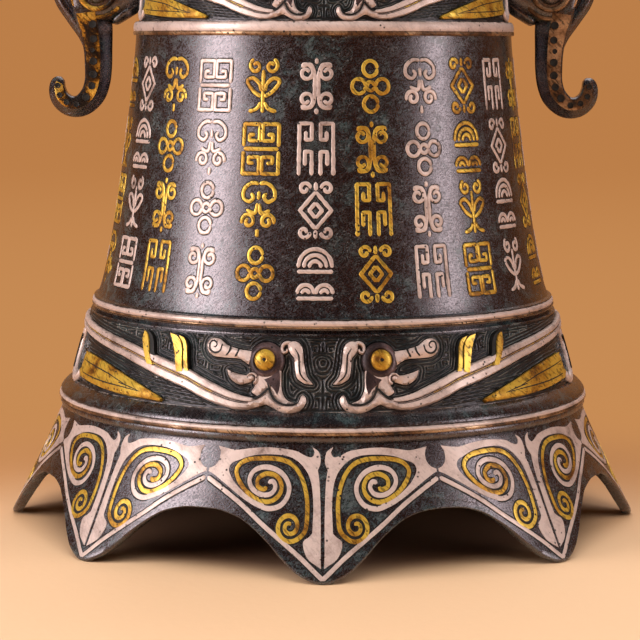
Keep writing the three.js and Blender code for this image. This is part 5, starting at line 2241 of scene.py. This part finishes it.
@dataclass
class Clapper(Assembly):
    """The hanger under the crown and the clapper that swings on its pin, in mm."""

    pin_level: float = 224.5
    hanger_flange: Rows = ((0.3, -3), (7.6, -3), (8.6, -2.7), (9, -2.2), (9, -0.6), (8.6, -0.1), (0.3, -0.1))
    tongue_half: float = 2.5
    tongue_radius: float = 6.0
    arm_inner: float = 2.8
    arm_outer: float = 5.8
    arm_half: float = 6.0
    fork_floor: Pair = (210.0, 216.0)
    rod_radius: float = 3.5
    ball_level: float = 66.5
    ball_radius: float = 15.0
    collar_level: float = 83.3

    def add_plate(
        self, form: Form, outline: Sequence[Pair], low: float, high: float, ease: float = 0.35
    ) -> None:
        """Adds an upright plate with eased edges.

        Args:
            form: Receives the plate.
            outline: Its outline as rows of x and z, in mm.
            low: Where it starts along Y.
            high: Where it ends along Y.
            ease: Size of its eased edges.
        """
        rows = np.array(outline, float)
        middle = rows.mean(axis=0)
        reach = np.linalg.norm(rows - middle, axis=1, keepdims=True)
        shrunk = middle + (rows - middle) * (1 - ease / reach)
        rings = [(shrunk, low), (rows, low + ease), (rows, high - ease), (shrunk, high)]
        grid = [np.stack([ring[:, 0], np.full(len(ring), y), ring[:, 1]], axis=1) for ring, y in rings]
        form.skin(np.array(grid) * MM)

    def plate_outline(self, radius: float, end: float) -> list[Pair]:
        """Gives a plate's outline, round about the pin and square at its other end.

        Args:
            radius: Its half width and the radius of its round end, in mm.
            end: Height of its square end, in mm.

        Returns:
            Rows of x and z.
        """
        half_turn = math.pi if end < self.pin_level else -math.pi
        turn = np.linspace(0, half_turn, 25)
        around = [(radius * math.cos(a), self.pin_level + radius * math.sin(a)) for a in turn]
        left = [(-radius, z) for z in np.linspace(self.pin_level, end, 8)[1:]]
        across = [(x, end) for x in np.linspace(-radius, radius, 8)[1:-1]]
        return [*around, *left, *across, *((radius, z) for z in np.linspace(end, self.pin_level, 8)[:-1])]

    def build_hanger(self) -> None:
        """Builds the hanger: a threaded stem, a flange and a tongue."""
        made = Form()
        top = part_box("clapper_hanger")[1].z / MM
        ceiling = self.form.crown_top - self.form.crown_thickness
        turned(made, [(r, ceiling + z) for r, z in self.hanger_flange])
        turned(made, [(0.3, ceiling - 1), *thread(3.0, ceiling - 0.5, top - 0.4), (2.3, top), (0.3, top)])
        outline = self.plate_outline(self.tongue_radius, ceiling - 2.5)
        self.add_plate(made, outline, -self.tongue_half, self.tongue_half)
        self.piece("clapper_hanger_turned", made, self.finishes.bare, Slot.BARE, ["clapper_hanger"])

    def build_rod(self) -> None:
        """Builds the rod with its fork and collar."""
        made = Form()
        low, high = self.fork_floor
        for face in (-1, 1):
            ends = sorted((face * self.arm_inner, face * self.arm_outer))
            self.add_plate(made, self.plate_outline(self.arm_half, low + 1), *ends)
        block = [
            (0.3, low), (3.9, low), (5.0, low + 0.6), (5.7, low + 1.8), (5.9, low + 3.2), (5.9, high - 0.6),
            (5.4, high), (0.3, high),
        ]
        turned(made, block)
        r, tail = self.rod_radius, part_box("clapper_rod")[0].z / MM
        collar = self.collar_level
        shaft = [
            (0.3, tail), (r - 0.9, tail), *thread(r, tail + 0.8, self.ball_level - self.ball_radius),
            (r, collar - 1.6), (5.4, collar - 1.5), (6.0, collar - 1.0), (6.0, collar + 0.8),
            (5.2, collar + 1.5), (r + 0.3, collar + 1.8), (r, collar + 2.6), (r, low - 12),
            (r + 0.8, low - 11.2), (r + 0.9, low - 10), (r, low - 9.2), (r, low - 4), (r + 0.6, low + 0.4),
            (0.3, low + 1),
        ]
        turned(made, shaft, around=40)
        self.piece("clapper_rod_turned", made, self.finishes.bare, Slot.BARE, ["clapper_rod"], "clapper")

    def build_pin(self) -> None:
        """Builds the pin with a head at either end."""
        made = Form()
        low, high = (value.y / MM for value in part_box("clapper_pin"))
        ends = [
            (0.3, low), (3.0, low), (3.9, low + 0.3), (4.2, low + 0.7), (4.2, low + 1.5), (2.5, low + 1.6),
            (2.5, high - 1.6), (4.2, high - 1.5), (4.2, high - 0.7), (3.9, high - 0.3), (3.0, high),
            (0.3, high),
        ]
        turned(made, ends, (0, 0, self.pin_level), "y")
        self.piece("clapper_pin_turned", made, self.finishes.bare, Slot.BARE, ["clapper_pin"], "clapper")

    def build_ball(self) -> None:
        """Builds the bored ball with two grooves round its middle."""
        made = Form()
        turn = np.linspace(-math.pi / 2 + 0.245, math.pi / 2 - 0.245, 41)
        groove = 0.35 * (np.exp(-((turn - 0.12) / 0.035) ** 2) + np.exp(-((turn + 0.12) / 0.035) ** 2))
        radius = self.ball_radius - groove
        bore = self.rod_radius + 0.1
        rows = [*zip(radius * np.cos(turn), self.ball_level + radius * np.sin(turn))]
        rows = [(bore, rows[0][1]), *rows, (bore, rows[-1][1])]
        turned(made, rows, around=72, is_ring=True)
        self.piece("clapper_ball_turned", made, self.finishes.bare, Slot.BARE, ["clapper_ball"], "clapper")

    def build(self) -> None:
        """Builds the hanger, rod, pin and ball."""
        self.build_hanger()
        self.build_rod()
        self.build_pin()
        self.build_ball()


@dataclass
class Studio:
    """Floor, backdrop, soft lights and the camera."""

    camera_place: Point = (-0.00145, -0.900, 0.1895)
    camera_pitch: float = 0.123
    camera_roll: float = -0.003
    lens: float = 127.4
    # floor_colour is a painted pool of light near the front of the bell; far_floor_colour is the paper's own
    # colour
    floor_colour: Colour = (0.90, 0.61, 0.365)
    far_floor_colour: Colour = (0.62, 0.29, 0.105)
    # painted falloff of light: the backdrop is painted darker farther from the bell
    backdrop_colours: tuple[Colour, Colour] = ((0.57, 0.26, 0.09), (0.50, 0.21, 0.066))
    painted_shadow_colour: Colour = (0.17, 0.085, 0.045)
    painted_shadow_reach: Pair = (0.088, 0.121)  # painted shadow: the paper is painted dark under the bell
    light_pool_middle: Point = (0, -0.16, 0)
    light_pool_reach: Pair = (0.10, 0.32)  # painted pool of light: where the floor painted pale turns into the darker paper
    glow_reach: Pair = (0.20, 0.44)  # where the paper begins to show its own even colour
    backdrop_falloff_reach: Pair = (0.4, 3.0)
    air_colour: Colour = (0.95, 0.80, 0.75)
    air_strength: float = 0.07
    light_aim: Point = (0, 0, 0.12)
    floor_reach: float = 2.4
    wall_bend: float = 1.2
    wall_height: float = 5.0
    front_dark: Pair = (1.2, 3.4)  # only the part behind the bell is shown in reflections

    def build_floor(self) -> None:
        """Builds the round floor, which rises to a wall."""
        turn = np.linspace(0, math.pi / 2, 12)
        reach, bend, around = self.floor_reach, self.wall_bend, 72
        line = [(0.3, 0.0), (0.6, 0.0), (1.2, 0.0), (reach, 0.0)]
        line += [(reach + bend * math.sin(a), bend * (1 - math.cos(a))) for a in turn[1:]]
        line += [(reach + bend, self.wall_height)]
        angles = np.arange(around) / around * TURN
        points = [(0, 0, 0)] + [(r * math.sin(a), r * math.cos(a), z) for r, z in line for a in angles]
        faces = [(0, 1 + (i + 1) % around, 1 + i) for i in range(around)]
        for ring in range(len(line) - 1):
            first = 1 + ring * around
            for i in range(around):
                j = (i + 1) % around
                faces.append((first + i, first + j, first + around + j, first + around + i))
        mesh = bpy.data.meshes.new("studio_floor")
        mesh.from_pydata(points, [], faces)
        mesh.shade_smooth()
        floor = new_object("studio_floor", mesh)
        s = Shade("studio_paper")
        # painted pool of light: the floor is painted pale about a point in front of the bell
        reach = s.distance_to(self.light_pool_middle)
        colour = s.mix(s.between(reach, *self.light_pool_reach), self.floor_colour, self.far_floor_colour)
        # painted shadow: the paper darkens towards the middle under the bell
        colour = s.mix(s.between(s.distance_to((0, 0, 0)), *self.painted_shadow_reach), self.painted_shadow_colour, colour)
        colour = s.mix(s.times(s.noise(260, 4), 0.06), colour, self.far_floor_colour)
        paper = s.finish(colour, 0.7, 0.0, s.bump(s.noise(300, 3), 0.0001))
        rays = s.node("LightPath").outputs
        mirrored = s.most(rays["Is Glossy Ray"], rays["Is Transmission Ray"])
        depth = s.node("SeparateXYZ", Vector=s.object_place).outputs["Y"]
        mirrored = s.times(mirrored, s.between(depth, *self.front_dark))
        seen = s.most(rays["Is Camera Ray"], mirrored)
        # painted falloff of light: the backdrop's colour darkens with distance
        wall_colour = s.mix(s.between(reach, *self.backdrop_falloff_reach), *self.backdrop_colours)
        glow = s.node("Emission", Color=wall_colour)
        share = s.times(seen, s.between(reach, *self.glow_reach))
        both = s.node("MixShader", None, share, s.shader.outputs[0], glow.outputs[0])
        s.feed(s.tree.nodes["Material Output"].inputs["Surface"], both.outputs[0])
        mesh.materials.append(paper)

    def add_light(
        self, name: str, place: Point, size: Pair, power: float, colour: Colour
    ) -> bpy.types.Object:
        """Adds a softbox that faces the middle of the bell.

        Args:
            name: Its name.
            place: Where it stands.
            size: Its width and height.
            power: Its power in watts.
            colour: Its colour.

        Returns:
            The softbox.
        """
        lamp = bpy.data.lights.new(name, "AREA")
        lamp.shape = "RECTANGLE"
        lamp.size, lamp.size_y = size
        lamp.energy = power
        lamp.color = colour
        box = new_object(name, lamp)
        box.location = place
        aim = Vector(self.light_aim) - Vector(place)
        box.rotation_euler = aim.to_track_quat("-Z", "Y").to_euler()
        return box

    def build_camera(self) -> None:
        """Builds the camera."""
        data = bpy.data.cameras.new("camera")
        data.lens = self.lens
        data.sensor_width = 36
        data.clip_start = 0.01
        camera = new_object("camera", data)
        camera.location = self.camera_place
        camera.rotation_euler = (math.pi / 2 - self.camera_pitch, self.camera_roll, 0)
        bpy.context.scene.camera = camera

    def build(self) -> None:
        """Builds the studio."""
        self.build_floor()
        self.add_light("left_softbox", (-1.04, -0.53, 0.31), (0.56, 1.14), 18, (1.0, 0.94, 0.95))
        self.add_light("right_softbox", (1.12, -0.44, 0.29), (0.34, 1.0), 6.2, (1.0, 0.94, 0.955))
        front = self.add_light("front_softbox", (0, -1.0, 1.25), (1.6, 1.0), 20, (1.0, 0.96, 0.93))
        front.visible_glossy = False
        self.add_light("rear_softbox", (0.25, 1.0, 1.45), (1.5, 1.0), 9, (0.94, 0.97, 1.0))
        world = bpy.data.worlds.new("studio_air")
        world.use_nodes = True
        background = world.node_tree.nodes["Background"]
        background.inputs["Color"].default_value = (*self.air_colour, 1)
        background.inputs["Strength"].default_value = self.air_strength
        bpy.context.scene.world = world
        bpy.context.scene.view_settings.view_transform = "Standard"
        self.build_camera()


def main() -> None:
    """Builds the studio and then each sub-assembly of the bell."""
    logging.basicConfig(level=logging.INFO, format="%(message)s")
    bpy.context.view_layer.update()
    Studio().build()
    form, finishes = BellForm(), Finishes()
    ShellBody(form, finishes).build()
    SilverRings(form, finishes).build()
    for band in (form.lower, form.upper):
        DragonBand(form, finishes, band).build()
    PetalInlay(form, finishes).build()
    BarrelMarks(form, finishes).build()
    for side, name in ((1, "right"), (-1, "left")):
        BeastEar(form, finishes, f"{name}_beast_ear", side).build()
        for end in ("lower", "upper"):
            EarScrew(form, finishes, f"{name}_ear_screw_{end}").build()
        HexNut(form, finishes, f"crown_loop_nut_{name}").build()
    DomeInlay(form, finishes).build()
    CrownLoop(form, finishes).build()
    Clapper(form, finishes).build()
    HexNut(form, finishes, "clapper_hanger_nut").build()
    HexNut(form, finishes, "clapper_ball_nut", "clapper").build()


if __name__ == "__main__":
    main()
